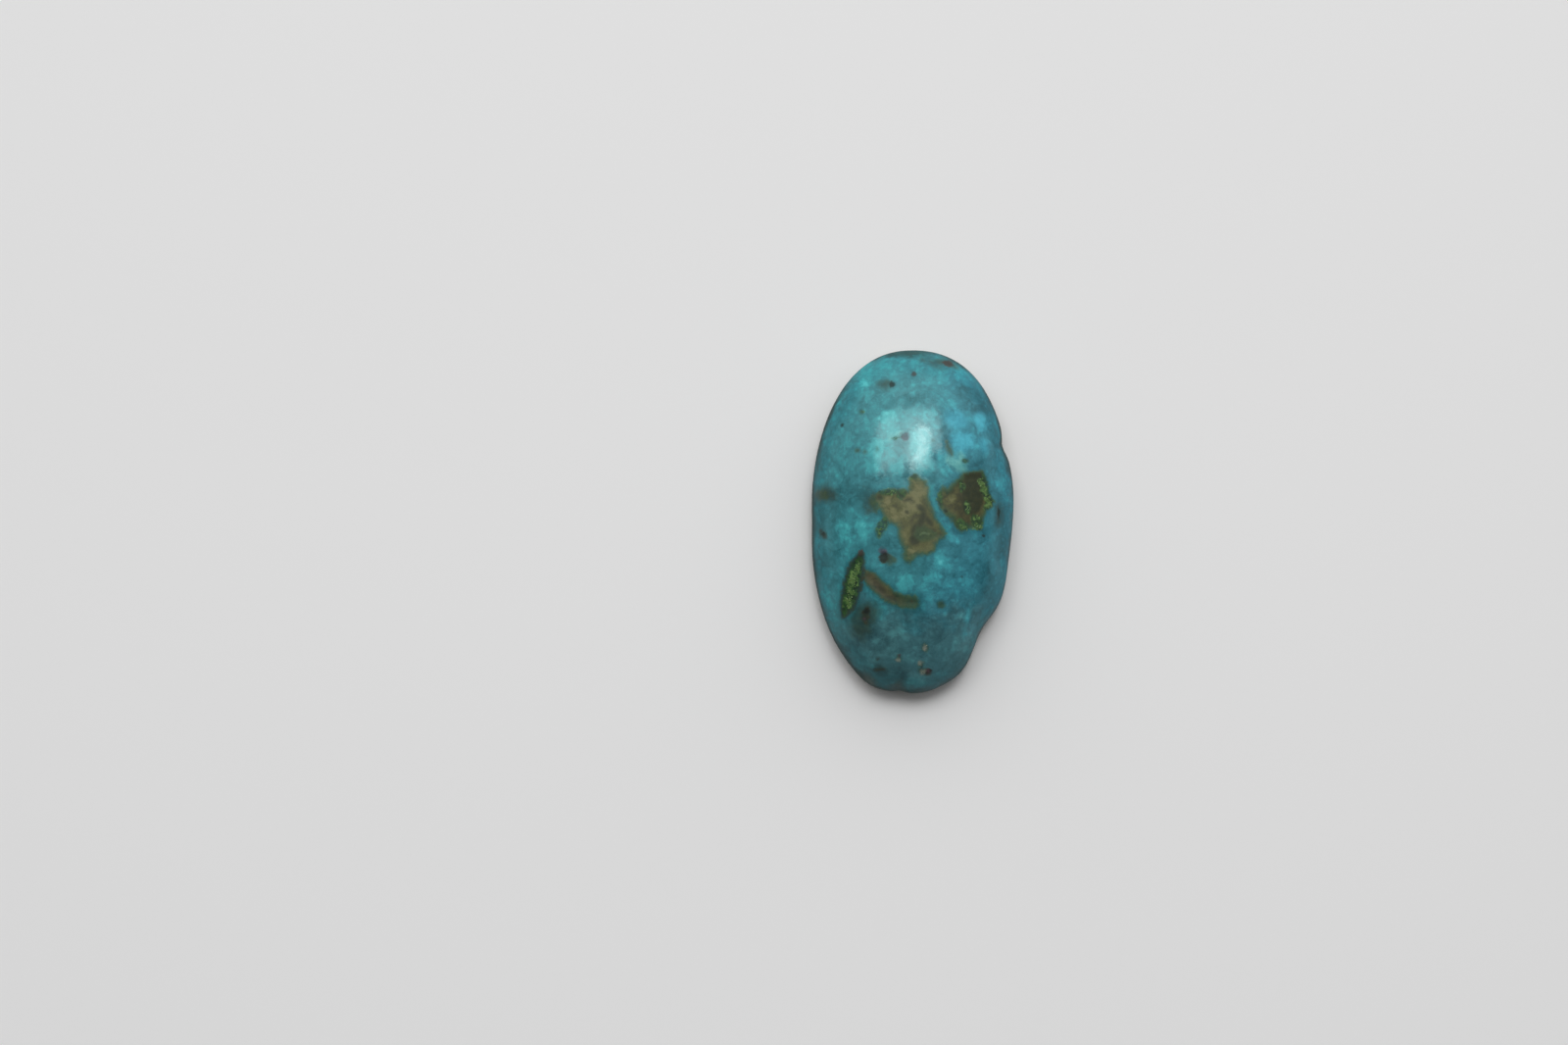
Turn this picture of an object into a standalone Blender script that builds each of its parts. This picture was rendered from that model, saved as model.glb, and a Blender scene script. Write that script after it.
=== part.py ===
"""Polished oval turquoise stone: a high dome above, a steep wall, and a back ground flat.

Metres, +Z up. The flat back lies on Z = 0, the length runs along Y, and the origin is the middle of the stone's
footprint. The stone formed and was cut as one piece, so it is one solid. Its outline, its flats and notch, and the
hollows and pits in the softer host rock are all part of that solid.
"""
import math

import bmesh
import bpy
from mathutils import Vector

MM = 0.001

# Driving dimensions of the whole stone
LENGTH = 35.0 * MM
WIDTH = 20.6 * MM
HEIGHT = 8.8 * MM
GIRDLE_HEIGHT = 2.1 * MM
WALL_DRAW = 5.4 * MM
ARRIS_HEIGHT = 0.3 * MM
ARRIS_INSET = 0.3 * MM

# Fullness of the plan and of the dome: 2 is an ellipse, more is squarer
PLAN_POWER = 2.22
DOME_POWER = 2.15

# How fast a departure of the outline fades as the dome rises
DEPARTURE_FADE = 4.0

# Departures of the outline from its plain oval: where round it in degrees, share of the reach, spread in degrees
OUTLINE_DEPARTURES = {
    "full right shoulder": (52.0, 0.014, 14.0),
    "notch on the right": (26.0, -0.031, 2.8),
    "swell under the notch": (11.0, 0.010, 6.0),
    "flat on the left": (180.0, -0.010, 6.0),
    "full lower left": (245.0, 0.016, 7.0),
    "dent at the foot": (263.0, -0.011, 3.0),
    "rubbed foot": (290.0, -0.015, 8.0),
    "ground flat on the lower right": (317.0, -0.101, 10.0),
    "flat above it": (346.0, -0.030, 9.0),
}

# Broad swells and hollows left by grinding by hand: middle in plan, height and spread, all in millimetres
SWELLS = {
    "right shoulder": ((6.0, 9.5), 0.16, 3.4),
    "left flank": ((-7.5, -1.5), -0.13, 4.2),
    "lower left": ((-3.5, -12.5), 0.14, 3.2),
    "above the ground flat": ((6.0, -10.5), -0.22, 2.8),
    "left shoulder": ((-4.5, 11.0), -0.08, 3.0),
}

# Rings of the skin from the top of the dome to the foot of the wall
DOME_RINGS = 21
WALL_RINGS = 3
RINGS = DOME_RINGS + WALL_RINGS

# Host rock, softer than the turquoise, worn a little below it: outline in plan and depth, in millimetres
TAN_PATCH = [
    (-0.4, 4.4), (0.5, 4.5), (1.3, 3.9), (1.4, 2.4), (2.3, 0.1), (3.1, -1.2), (2.4, -1.8), (1.7, -2.9),
    (0.3, -3.4), (-0.4, -4.2), (-1.0, -3.8), (-1.3, -1.7), (-1.8, -0.4), (-2.9, 0.3), (-3.6, 1.7), (-3.9, 2.7),
    (-2.6, 3.0), (-0.6, 3.1),
]
RIGHT_PATCH = [
    (2.5, 3.0), (3.4, 3.4), (5.0, 4.9), (6.8, 5.0), (7.4, 3.4), (7.9, 1.8), (7.1, 0.8), (6.7, -0.8),
    (4.7, -0.9), (3.9, 0.5), (2.6, 1.4),
]
DARK_CORE = [
    (5.0, 4.8), (6.8, 4.9), (6.9, 2.9), (6.6, 1.1), (5.3, 0.7), (4.8, 1.8), (4.9, 3.6),
]
PATCHES = {
    "tan patch": (TAN_PATCH, 0.03),
    "right patch": (RIGHT_PATCH, 0.03),
    "dark core": (DARK_CORE, 0.04),
}
PATCH_EDGE = 0.35

# Share of a long hollow's half width, and of a pit's radius, that its sloping side takes up
SEAM_SIDE = 0.62
PIT_SIDE = 0.85

# A long hollow's width at its tips as a share of its middle width, and how soon it reaches its full width
SEAM_TIP_SHARE = 0.25
SEAM_FULLNESS = 0.6

# Long hollows, in millimetres: the middle line in plan, the half width at its middle, and the depth
SEAMS = {
    "green hollow": ([(-5.3, -3.0), (-6.2, -5.6), (-6.6, -8.2), (-7.05, -9.7)], 0.86, 0.12),
    "brown band": ([(-4.7, -5.3), (-3.4, -6.7), (-1.8, -7.8), (0.0, -8.05)], 0.70, 0.03),
    "streak by the top": ([(1.6, 16.3), (4.0, 15.9)], 0.32, 0.04),
    "groove from the notch": ([(9.3, 8.1), (8.6, 7.6), (7.9, 7.4)], 0.42, 0.04),
}

# Single pits, in millimetres: middle in plan, radius and depth
PITS = {
    "red pit": ((-3.1, -3.35), 0.60, 0.06),
    "crack in the tan patch": ((0.7, 1.35), 0.45, 0.04),
    "top pit": ((-2.15, 13.85), 0.48, 0.06),
    "small top pit": ((0.06, 14.95), 0.40, 0.04),
    "smudge pit": ((-4.8, -9.4), 0.60, 0.06),
    "foot pit": ((1.1, -15.2), 0.50, 0.04),
    "right slot": ((8.6, 0.9), 0.50, 0.04),
    "left pit": ((-9.1, -1.2), 0.42, 0.04),
}

# The skin is split once within this reach of a mark's edge, and once more close to the small ones, in millimetres
SPLIT_REACH = 0.40
FINE_SPLIT_REACH = 0.05

# The stone's plain colour and polish
TURQUOISE = (0.062, 0.262, 0.305, 1.0)
POLISH_ROUGHNESS = 0.34

# Edges steeper than this stay crisp, which keeps the arris of the back
CRISP_ANGLE = math.radians(50.0)


def clear_scene():
    """Remove every object that the open scene holds."""
    for item in list(bpy.data.objects):
        bpy.data.objects.remove(item, do_unlink=True)


def smooth(share):
    """Ease a share from 0 to 1, level at both ends."""
    share = min(max(share, 0.0), 1.0)
    return share * share * (3.0 - 2.0 * share)


def departure(turn):
    """Share by which the outline stands out or in at a place round the oval, in degrees."""
    total = 0.0
    for middle, share, spread in OUTLINE_DEPARTURES.values():
        away = (turn - middle + 180.0) % 360.0 - 180.0
        total += share * math.exp(-0.5 * (away / spread) ** 2)
    return total


def swell(x, y):
    """Height by which the dome stands above its plain curve at a place in plan, in millimetres."""
    total = 0.0
    for middle, height, spread in SWELLS.values():
        away = math.hypot(x - middle[0], y - middle[1])
        total += height * math.exp(-0.5 * (away / spread) ** 2)
    return total


def profile(step):
    """Share of the full reach, and the height, at a step from 0 on top to 1 at the foot of the wall.

    The steps are closer together near the girdle, where the dome turns fastest.
    """
    dome_share = DOME_RINGS / RINGS
    if step <= dome_share:
        along = step / dome_share
        tilt = 0.5 * math.pi * along * (2.0 + along) / 3.0
        power = 2.0 / DOME_POWER
        reach = math.sin(tilt) ** power
        height = max(math.cos(tilt), 0.0) ** power
        return reach, GIRDLE_HEIGHT + (HEIGHT - GIRDLE_HEIGHT) * height
    below = (step - dome_share) / (1.0 - dome_share)
    drop = below * (GIRDLE_HEIGHT - ARRIS_HEIGHT)
    reach = (1.0 - (drop / WALL_DRAW) ** DOME_POWER) ** (1.0 / DOME_POWER)
    return reach, GIRDLE_HEIGHT - drop


def skin_point(across, along):
    """Place of a point of the unit square on the stone's skin: square rings become rings round the oval."""
    step = max(abs(across), abs(along))
    if step == 0.0:
        return Vector((0.0, 0.0, HEIGHT))
    if abs(across) >= abs(along):
        turn = 0.25 * math.pi * along / across + (math.pi if across < 0.0 else 0.0)
    else:
        turn = math.pi * (0.5 if along > 0.0 else 1.5) - 0.25 * math.pi * across / along
    reach, height = profile(step)
    oval = (abs(math.cos(turn)) ** PLAN_POWER + abs(math.sin(turn)) ** PLAN_POWER) ** (-1.0 / PLAN_POWER)
    reach *= oval * (1.0 + departure(math.degrees(turn)) * reach ** DEPARTURE_FADE)
    place = Vector((0.5 * WIDTH * reach * math.cos(turn), 0.5 * LENGTH * reach * math.sin(turn), height))
    share_of_rise = (height - GIRDLE_HEIGHT) / (HEIGHT - GIRDLE_HEIGHT)
    place.z += swell(place.x / MM, place.y / MM) * MM * max(share_of_rise, 0.0)
    return place


def segment_distance(x, y, start, end):
    """Distance in plan from a point to a straight run, and how far along the run its nearest place is."""
    run_x = end[0] - start[0]
    run_y = end[1] - start[1]
    along = ((x - start[0]) * run_x + (y - start[1]) * run_y) / (run_x ** 2 + run_y ** 2)
    along = min(max(along, 0.0), 1.0)
    return math.hypot(x - start[0] - along * run_x, y - start[1] - along * run_y), along


def inside_depth(x, y, outline):
    """Distance in plan from a closed outline, positive inside it."""
    nearest = math.inf
    inside = False
    for index, end in enumerate(outline):
        start = outline[index - 1]
        nearest = min(nearest, segment_distance(x, y, start, end)[0])
        if (start[1] > y) != (end[1] > y):
            crossing = start[0] + (y - start[1]) * (end[0] - start[0]) / (end[1] - start[1])
            if x < crossing:
                inside = not inside
    return nearest if inside else -nearest


def seam_cover(x, y, middle_line, half_width):
    """How far inside a long hollow a point lies; the hollow narrows to its two tips."""
    runs = len(middle_line) - 1
    best = -math.inf
    for index in range(runs):
        distance, along = segment_distance(x, y, middle_line[index], middle_line[index + 1])
        place = (index + along) / runs
        swelling = math.sin(math.pi * place) ** SEAM_FULLNESS
        width = half_width * (SEAM_TIP_SHARE + (1.0 - SEAM_TIP_SHARE) * swelling)
        best = max(best, width - distance)
    return best


def patch_covers(x, y):
    """For each patch, how far inside it a place in plan lies, the width of its edge, and its depth."""
    return [(inside_depth(x, y, outline), PATCH_EDGE, depth) for outline, depth in PATCHES.values()]


def small_covers(x, y):
    """The same for each long hollow and pit."""
    covers = []
    for middle_line, half_width, depth in SEAMS.values():
        covers.append((seam_cover(x, y, middle_line, half_width), SEAM_SIDE * half_width, depth))
    for middle, radius, depth in PITS.values():
        covers.append((radius - math.hypot(x - middle[0], y - middle[1]), PIT_SIDE * radius, depth))
    return covers


def sink(x, y):
    """Depth of the marks below the plain skin at a place in plan, all in millimetres."""
    covers = patch_covers(x, y) + small_covers(x, y)
    return max(depth * smooth(cover / edge) for cover, edge, depth in covers)


def split_near_marks(skin, reach, with_patches):
    """Split the faces of the unit square that will lie on or near a mark, so that the mark has its shape."""
    chosen = set()
    for face in skin.faces:
        middle = face.calc_center_median()
        place = skin_point(middle.x, middle.y) / MM
        near = any(cover > -reach for cover, edge, depth in small_covers(place.x, place.y))
        if with_patches:
            near = near or any(abs(cover) < reach for cover, edge, depth in patch_covers(place.x, place.y))
        if near:
            chosen.update(face.edges)
    bmesh.ops.subdivide_edges(skin, edges=list(chosen), cuts=1, use_grid_fill=True)


def close_back(skin):
    """Turn the foot of the wall inwards to the back plane and close the flat back."""
    rim = [edge for edge in skin.edges if edge.is_boundary]
    turned = bmesh.ops.extrude_edge_only(skin, edges=rim)["geom"]
    for item in turned:
        if isinstance(item, bmesh.types.BMVert):
            reach = math.hypot(item.co.x, item.co.y)
            item.co.x *= 1.0 - ARRIS_INSET / reach
            item.co.y *= 1.0 - ARRIS_INSET / reach
            item.co.z = 0.0
    back_rim = [item for item in turned if isinstance(item, bmesh.types.BMEdge) and item.is_boundary]
    bmesh.ops.contextual_create(skin, geom=back_rim)


def fit_to_size(skin):
    """Bring the skin to its stated width, length and height, with its footprint's middle on the origin."""
    for axis, size in ((0, WIDTH), (1, LENGTH)):
        low = min(vert.co[axis] for vert in skin.verts)
        high = max(vert.co[axis] for vert in skin.verts)
        for vert in skin.verts:
            vert.co[axis] = (vert.co[axis] - 0.5 * (low + high)) * size / (high - low)
    top = max(vert.co.z for vert in skin.verts)
    for vert in skin.verts:
        vert.co.z *= HEIGHT / top


def stone_mesh():
    """Mesh of the whole stone, closed and facing outwards."""
    skin = bmesh.new()
    bmesh.ops.create_grid(skin, x_segments=2 * RINGS, y_segments=2 * RINGS, size=1.0)
    split_near_marks(skin, SPLIT_REACH, with_patches=True)
    split_near_marks(skin, FINE_SPLIT_REACH, with_patches=False)
    for vert in skin.verts:
        vert.co = skin_point(vert.co.x, vert.co.y)
    skin.normal_update()
    for vert in skin.verts:
        if not vert.is_boundary:
            vert.co -= vert.normal * sink(vert.co.x / MM, vert.co.y / MM) * MM
    fit_to_size(skin)
    close_back(skin)
    bmesh.ops.triangulate(skin, faces=skin.faces[:])
    bmesh.ops.recalc_face_normals(skin, faces=skin.faces[:])
    mesh = bpy.data.meshes.new("turquoise_stone")
    skin.to_mesh(mesh)
    skin.free()
    return mesh


def turquoise_material():
    """Satin polished turquoise."""
    material = bpy.data.materials.new("turquoise")
    material.use_nodes = True
    shader = material.node_tree.nodes["Principled BSDF"]
    shader.inputs["Base Color"].default_value = TURQUOISE
    shader.inputs["Roughness"].default_value = POLISH_ROUGHNESS
    shader.inputs["Metallic"].default_value = 0.0
    return material


def build_stone():
    """Make the stone and lay it on its back."""
    mesh = stone_mesh()
    mesh.materials.append(turquoise_material())
    mesh.shade_smooth()
    mesh.set_sharp_from_angle(angle=CRISP_ANGLE)
    stone = bpy.data.objects.new("turquoise_stone", mesh)
    bpy.context.scene.collection.objects.link(stone)
    return stone


clear_scene()
build_stone()
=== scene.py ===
"""Looks of a polished oval turquoise stone that lies on its flat back on a pale floor.

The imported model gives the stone's box. Lengths in the fields below are in millimetres, in the model's own
frame. Places are given in plan, from the middle of the stone's footprint: x to the right, and y towards its
upper end.
"""
from __future__ import annotations

import logging
import math
from dataclasses import dataclass, replace
from enum import Enum
from typing import Callable, Sequence, Union

import bpy
import numpy as np
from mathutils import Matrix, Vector, noise


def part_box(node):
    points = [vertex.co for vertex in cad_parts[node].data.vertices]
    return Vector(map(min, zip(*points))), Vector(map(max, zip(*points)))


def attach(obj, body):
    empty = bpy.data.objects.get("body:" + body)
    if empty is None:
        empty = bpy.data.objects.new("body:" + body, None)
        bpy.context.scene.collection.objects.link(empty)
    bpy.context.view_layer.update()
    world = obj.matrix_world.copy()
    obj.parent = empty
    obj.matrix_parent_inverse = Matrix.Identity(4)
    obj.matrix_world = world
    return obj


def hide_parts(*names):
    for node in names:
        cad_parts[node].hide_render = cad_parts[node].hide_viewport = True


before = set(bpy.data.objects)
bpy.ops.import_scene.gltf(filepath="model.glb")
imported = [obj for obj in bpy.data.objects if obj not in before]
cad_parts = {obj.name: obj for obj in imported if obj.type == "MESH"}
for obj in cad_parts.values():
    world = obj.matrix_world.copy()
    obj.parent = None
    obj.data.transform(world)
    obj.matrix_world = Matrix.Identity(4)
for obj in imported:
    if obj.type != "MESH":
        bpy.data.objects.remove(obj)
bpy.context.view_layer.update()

log = logging.getLogger("turquoise_stone")

MM = 0.001
BODY = "root"
NODE = "turquoise_stone"

Place = tuple[float, float]
Line = Sequence[Place]
Value = Union[float, "Field"]


def srgb(red: int, green: int, blue: int) -> tuple[float, float, float, float]:
    """Scene-linear colour of a display colour.

    Args:
        red: Red, from 0 to 255.
        green: Green, from 0 to 255.
        blue: Blue, from 0 to 255.

    Returns:
        The four values that a colour socket takes.
    """
    linear = []
    for level in (red, green, blue):
        share = level / 255.0
        linear.append(share / 12.92 if share <= 0.04045 else ((share + 0.055) / 1.055) ** 2.4)
    return linear[0], linear[1], linear[2], 1.0


class Graph:
    """A node tree that is written as formulas."""

    def __init__(self, tree: bpy.types.NodeTree) -> None:
        """Keep the tree that the nodes go into."""
        self.tree = tree

    def add(self, kind: str, inputs: dict | None = None, **settings: object) -> bpy.types.Node:
        """Add a node.

        Args:
            kind: The node's type name.
            inputs: Values or fields for its input sockets, by name or by index.
            **settings: Properties of the node itself.

        Returns:
            The new node.
        """
        node = self.tree.nodes.new(kind)
        for name, value in settings.items():
            setattr(node, name, value)
        for key, value in (inputs or {}).items():
            self.feed(node.inputs[key], value)
        return node

    def feed(self, socket: bpy.types.NodeSocket, value: object) -> None:
        """Fill an input socket.

        Args:
            socket: The input.
            value: A field, or a plain value.
        """
        if isinstance(value, Field):
            self.tree.links.new(value.socket, socket)
        else:
            socket.default_value = value

    def take(self, node: bpy.types.Node, output: Union[int, str] = 0) -> Field:
        """Read one of a node's outputs as a field."""
        return Field(self, node.outputs[output])

    def math(self, operation: str, *values: Value, clamp: bool = False) -> Field:
        """Field of a Math node on the given values."""
        inputs = dict(enumerate(values))
        return self.take(self.add("ShaderNodeMath", inputs, operation=operation, use_clamp=clamp))

    def vector_math(self, operation: str, *values: object) -> Field:
        """Field of a Vector Math node on the given values."""
        return self.take(self.add("ShaderNodeVectorMath", dict(enumerate(values)), operation=operation))

    def scaled(self, vector: Field, factor: Value) -> Field:
        """Vector field times a number."""
        return self.take(self.add("ShaderNodeVectorMath", {0: vector, 3: factor}, operation="SCALE"))

    def combine(self, x: Value, y: Value, z: Value) -> Field:
        """Vector field of three parts."""
        return self.take(self.add("ShaderNodeCombineXYZ", {0: x, 1: y, 2: z}))

    def parts(self, vector: Field) -> tuple[Field, Field, Field]:
        """The three parts of a vector field."""
        node = self.add("ShaderNodeSeparateXYZ", {0: vector})
        return self.take(node, 0), self.take(node, 1), self.take(node, 2)

    def ease(self, value: Field, start: Value, end: Value) -> Field:
        """Smooth share from 0 at start to 1 at end."""
        inputs = {"Value": value, "From Min": start, "From Max": end}
        return self.take(self.add("ShaderNodeMapRange", inputs, interpolation_type="SMOOTHSTEP"))

    def blend(self, share: Value, below: object, above: object, kind: str = "MIX") -> Field:
        """Mix of two colours by a share, or another kind of blend."""
        inputs = {0: share, 6: below, 7: above}
        return self.take(self.add("ShaderNodeMix", inputs, data_type="RGBA", blend_type=kind), 2)

    def tint(self, share: Value, colour: Field, cast: tuple) -> Field:
        """Colour times a cast, by a share."""
        return self.blend(share, colour, cast, "MULTIPLY")

    def between(self, share: Field, below: Value, above: Value) -> Field:
        """Mix of two numbers by a share."""
        return self.take(self.add("ShaderNodeMix", {0: share, 2: below, 3: above}))

    def ramp(self, value: Field, stops: Sequence[tuple[float, tuple]]) -> Field:
        """Colour from a ramp.

        Args:
            value: Where to read the ramp.
            stops: Place and colour of each of its stops.

        Returns:
            The colour.
        """
        node = self.add("ShaderNodeValToRGB", {0: value})
        elements = node.color_ramp.elements
        while len(elements) < len(stops):
            elements.new(1.0)
        for element, (place, colour) in zip(elements, stops):
            element.position = place
            element.color = colour
        return self.take(node)

    def cloud(self, places: Field, scale: float, detail: float = 2.0, roughness: float = 0.5) -> Field:
        """Soft noise about 0.5, with scale in waves per unit of the places."""
        inputs = {"Vector": places, "Scale": scale, "Detail": detail, "Roughness": roughness}
        return self.take(self.add("ShaderNodeTexNoise", inputs), 0)

    def wander(self, places: Field, scale: float, reach: float, detail: float = 2.0) -> Field:
        """Shift places every way by soft noise.

        Args:
            places: The places.
            scale: Waves of the noise per unit of the places.
            reach: About twice the greatest shift.
            detail: Finer octaves of the noise.

        Returns:
            The shifted places.
        """
        noise_node = self.add("ShaderNodeTexNoise", {"Vector": places, "Scale": scale, "Detail": detail})
        centred = self.vector_math("SUBTRACT", self.take(noise_node, 1), (0.5, 0.5, 0.5))
        return self.vector_math("ADD", places, self.scaled(centred, reach))

    def grains(self, places: Field, scale: float, softness: float = 0.0) -> tuple[Field, Field]:
        """Cells of a grainy stone.

        Args:
            places: Where to read them.
            scale: Grains in one unit of the places.
            softness: How far one grain blends into the next, from 0 to 1.

        Returns:
            Distance from the grain's middle, and a level from 0 to 1 that is its own.
        """
        inputs = {"Vector": places, "Scale": scale}
        if softness > 0.0:
            inputs["Smoothness"] = softness
        node = self.add("ShaderNodeTexVoronoi", inputs, feature="SMOOTH_F1" if softness > 0.0 else "F1")
        return self.take(node, "Distance"), self.parts(self.take(node, "Color"))[0]

    def shade(self, inputs: dict[str, object]) -> None:
        """Give the tree's Principled shader values or fields, by the name of the input."""
        for name, value in inputs.items():
            self.feed(self.tree.nodes["Principled BSDF"].inputs[name], value)


def operation(name: str, turned: bool = False) -> Callable[[Field, Value], Field]:
    """Method of a field that adds a Math node on it and another value.

    Args:
        name: The node's operation.
        turned: Whether the other value comes first.

    Returns:
        The method.
    """
    def method(field: Field, other: Value) -> Field:
        """Field of the operation on the two."""
        return field.graph.math(name, *((other, field) if turned else (field, other)))

    return method


@dataclass(frozen=True)
class Field:
    """A value in a node tree. Arithmetic on it adds Math nodes."""

    graph: Graph
    socket: bpy.types.NodeSocket

    __add__ = __radd__ = operation("ADD")
    __sub__ = operation("SUBTRACT")
    __rsub__ = operation("SUBTRACT", turned=True)
    __mul__ = __rmul__ = operation("MULTIPLY")
    __truediv__ = operation("DIVIDE")
    __rtruediv__ = operation("DIVIDE", turned=True)
    __pow__ = operation("POWER")
    at_least = operation("MAXIMUM")
    at_most = operation("MINIMUM")
    over = operation("GREATER_THAN")

    def __abs__(self) -> Field:
        """Size without its sign."""
        return self.graph.math("ABSOLUTE", self)


def bell(value: Field, spread: float) -> Field:
    """Bell curve of a distance, 1 in the middle."""
    scaled = value / spread
    return value.graph.math("EXPONENT", scaled * scaled * -0.5)


def new_material(name: str) -> tuple[bpy.types.Material, Graph]:
    """Start a material.

    Args:
        name: The material's name.

    Returns:
        The material, and its node tree.
    """
    material = bpy.data.materials.new(name)
    material.use_nodes = True
    return material, Graph(material.node_tree)


def new_object(name: str, data: bpy.types.ID) -> bpy.types.Object:
    """Put an object in the scene.

    Args:
        name: The object's name.
        data: Its mesh, light or camera.

    Returns:
        The object, at the origin.
    """
    item = bpy.data.objects.new(name, data)
    bpy.context.scene.collection.objects.link(item)
    return item


class Sign(Enum):
    """Point attributes that carry the stone's markings: how far inside each kind of marking a point lies."""

    TAN = "tan_rock"
    SAND = "paler_rock"
    CORE = "dark_core"
    BAND = "brown_band"
    LEAF = "green_hollow"
    GREEN = "green_mineral"
    BRIGHT = "bright_green"
    POOL = "olive_pools"
    ARC = "pale_arc"
    ROSE = "rosy_spots"
    DARK = "dark_spots"
    RUST = "rust_spots"
    SHADE = "soft_brown"
    PALE = "pale_spots"
    SMUDGE = "olive_smudges"
    SKY = "sky_blue"
    MINT = "pale_green"
    # Pale clouds; those under the highlight are partly painted highlight.
    CLOUD_AND_SHEEN = "pale_clouds_and_sheen"
    VEIL = "dark_veils"
    BACK = "ground_back"


@dataclass(frozen=True)
class Patch:
    """An area inside a closed outline in plan."""

    outline: Line

    def cover(self, places: np.ndarray) -> np.ndarray:
        """How far inside the outline each place lies, negative outside.

        Args:
            places: Rows of x and y.

        Returns:
            One distance for each place.
        """
        nearest = np.full(len(places), np.inf)
        inside = np.zeros(len(places), bool)
        for start, end in zip((self.outline[-1], *self.outline[:-1]), self.outline):
            nearest = np.minimum(nearest, run_distance(places, start, end)[0])
            if start[1] == end[1]:
                continue
            spans = (start[1] > places[:, 1]) != (end[1] > places[:, 1])
            slope = (end[0] - start[0]) / (end[1] - start[1])
            inside ^= spans & (places[:, 0] < start[0] + (places[:, 1] - start[1]) * slope)
        return np.where(inside, nearest, -nearest)


@dataclass(frozen=True)
class Stroke:
    """A long mark along a line in plan, which narrows to its tips."""

    middle_line: Line
    half_width: float
    tip_share: float = 0.25
    fullness: float = 0.6

    def cover(self, places: np.ndarray) -> np.ndarray:
        """How far inside the mark each place lies, negative outside.

        Args:
            places: Rows of x and y.

        Returns:
            One distance for each place.
        """
        best = np.full(len(places), -np.inf)
        runs = len(self.middle_line) - 1
        for index in range(runs):
            distance, along = run_distance(places, self.middle_line[index], self.middle_line[index + 1])
            swelling = np.sin(np.pi * (index + along) / runs).clip(0.0) ** self.fullness
            width = self.half_width * (self.tip_share + (1.0 - self.tip_share) * swelling)
            best = np.maximum(best, width - distance)
        return best


@dataclass(frozen=True)
class Spot:
    """A round mark in plan."""

    middle: Place
    radius: float

    def cover(self, places: np.ndarray) -> np.ndarray:
        """How far inside the mark each place lies, negative outside."""
        return self.radius - np.hypot(places[:, 0] - self.middle[0], places[:, 1] - self.middle[1])


Mark = Union[Patch, Stroke, Spot]


def run_distance(places: np.ndarray, start: Place, end: Place) -> tuple[np.ndarray, np.ndarray]:
    """Measure places against a straight run.

    Args:
        places: Rows of x and y.
        start: Start of the run.
        end: Its end.

    Returns:
        Distance of each place from the run, and the share of the run at which its nearest point lies.
    """
    run = np.subtract(end, start)
    along = ((places - start) @ run / (run @ run)).clip(0.0, 1.0)
    nearest = np.outer(along, run) + start
    return np.hypot(*(places - nearest).T), along


def cover_of(marks: Sequence[Mark], places: np.ndarray) -> np.ndarray:
    """How far inside the nearest of several marks each place lies."""
    return np.max([mark.cover(places) for mark in marks], axis=0)


TAN_PATCH = Patch((
    (-0.45, 4.35), (0.0, 4.6), (0.5, 4.4), (1.2, 4.15), (1.4, 3.4), (1.4, 2.4), (1.7, 1.5), (2.3, 0.05),
    (2.7, -0.6), (3.15, -1.15), (2.9, -1.55), (2.4, -1.8), (2.05, -2.3), (1.8, -2.85), (1.35, -3.2),
    (0.4, -3.35), (0.0, -3.6), (-0.4, -4.25), (-0.9, -4.0), (-1.1, -3.5), (-1.0, -2.8), (-1.35, -1.7),
    (-1.6, -0.9), (-1.75, -0.35), (-2.5, -0.1), (-3.0, 0.4), (-3.35, 1.1), (-3.6, 1.65), (-3.8, 2.1),
    (-3.9, 2.75), (-3.4, 2.95), (-2.6, 3.0), (-1.8, 3.1), (-1.0, 3.15), (-0.6, 3.0), (-0.55, 3.6),
))
RIGHT_PATCH = Patch((
    (2.5, 2.95), (2.8, 3.4), (3.4, 3.3), (4.0, 3.85), (4.5, 4.3), (5.0, 4.85), (6.85, 5.05), (7.2, 4.4),
    (7.4, 3.4), (7.95, 2.1), (7.9, 1.6), (7.25, 1.2), (7.0, 0.6), (6.8, -0.1), (6.7, -0.8), (6.2, -0.6),
    (5.4, -0.7), (4.7, -0.95), (4.2, -0.4), (3.9, 0.5), (3.3, 0.9), (2.65, 1.4), (2.4, 2.2),
))
DARK_CORE = Patch((
    (5.0, 4.75), (5.6, 4.95), (6.8, 4.95), (6.95, 4.1), (6.95, 2.95), (6.9, 1.8), (6.6, 1.1), (6.05, 0.75),
    (5.3, 0.7), (4.9, 1.0), (4.75, 1.8), (4.75, 2.8), (4.95, 3.65),
))
GREEN_HOLLOW = Stroke(
    ((-5.25, -3.2), (-5.76, -4.4), (-6.07, -5.8), (-6.3, -7.0), (-6.62, -8.4), (-7.0, -9.5)), 0.84, 0.15
)
BROWN_BAND = Stroke(
    ((-4.6, -5.5), (-4.1, -5.95), (-3.4, -6.7), (-2.4, -7.5), (-1.2, -7.95), (0.0, -8.05)), 0.6, 0.75, 0.4
)
RED_PIT = Spot((-3.1, -3.35), 0.48)
EYE = Patch((
    (0.1, -0.4), (1.0, -0.35), (1.9, -0.8), (2.45, -1.25), (1.9, -1.7), (1.0, -1.95), (0.2, -1.95),
    (-0.25, -1.4),
))
EYE_SHADOW = Stroke(((-0.3, -1.4), (-0.1, -1.9), (0.4, -2.1)), 0.38)
TAN_CRACK = Stroke(((0.4, 1.55), (0.9, 1.15)), 0.3, 0.7)
TOP_PIT = Spot((-2.15, 13.85), 0.34)
SMALL_TOP_PIT = Spot((0.06, 14.95), 0.26)
SMUDGE_PIT = Stroke(((-4.7, -8.8), (-4.85, -9.4), (-4.85, -10.0)), 0.42, 0.6)
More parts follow.
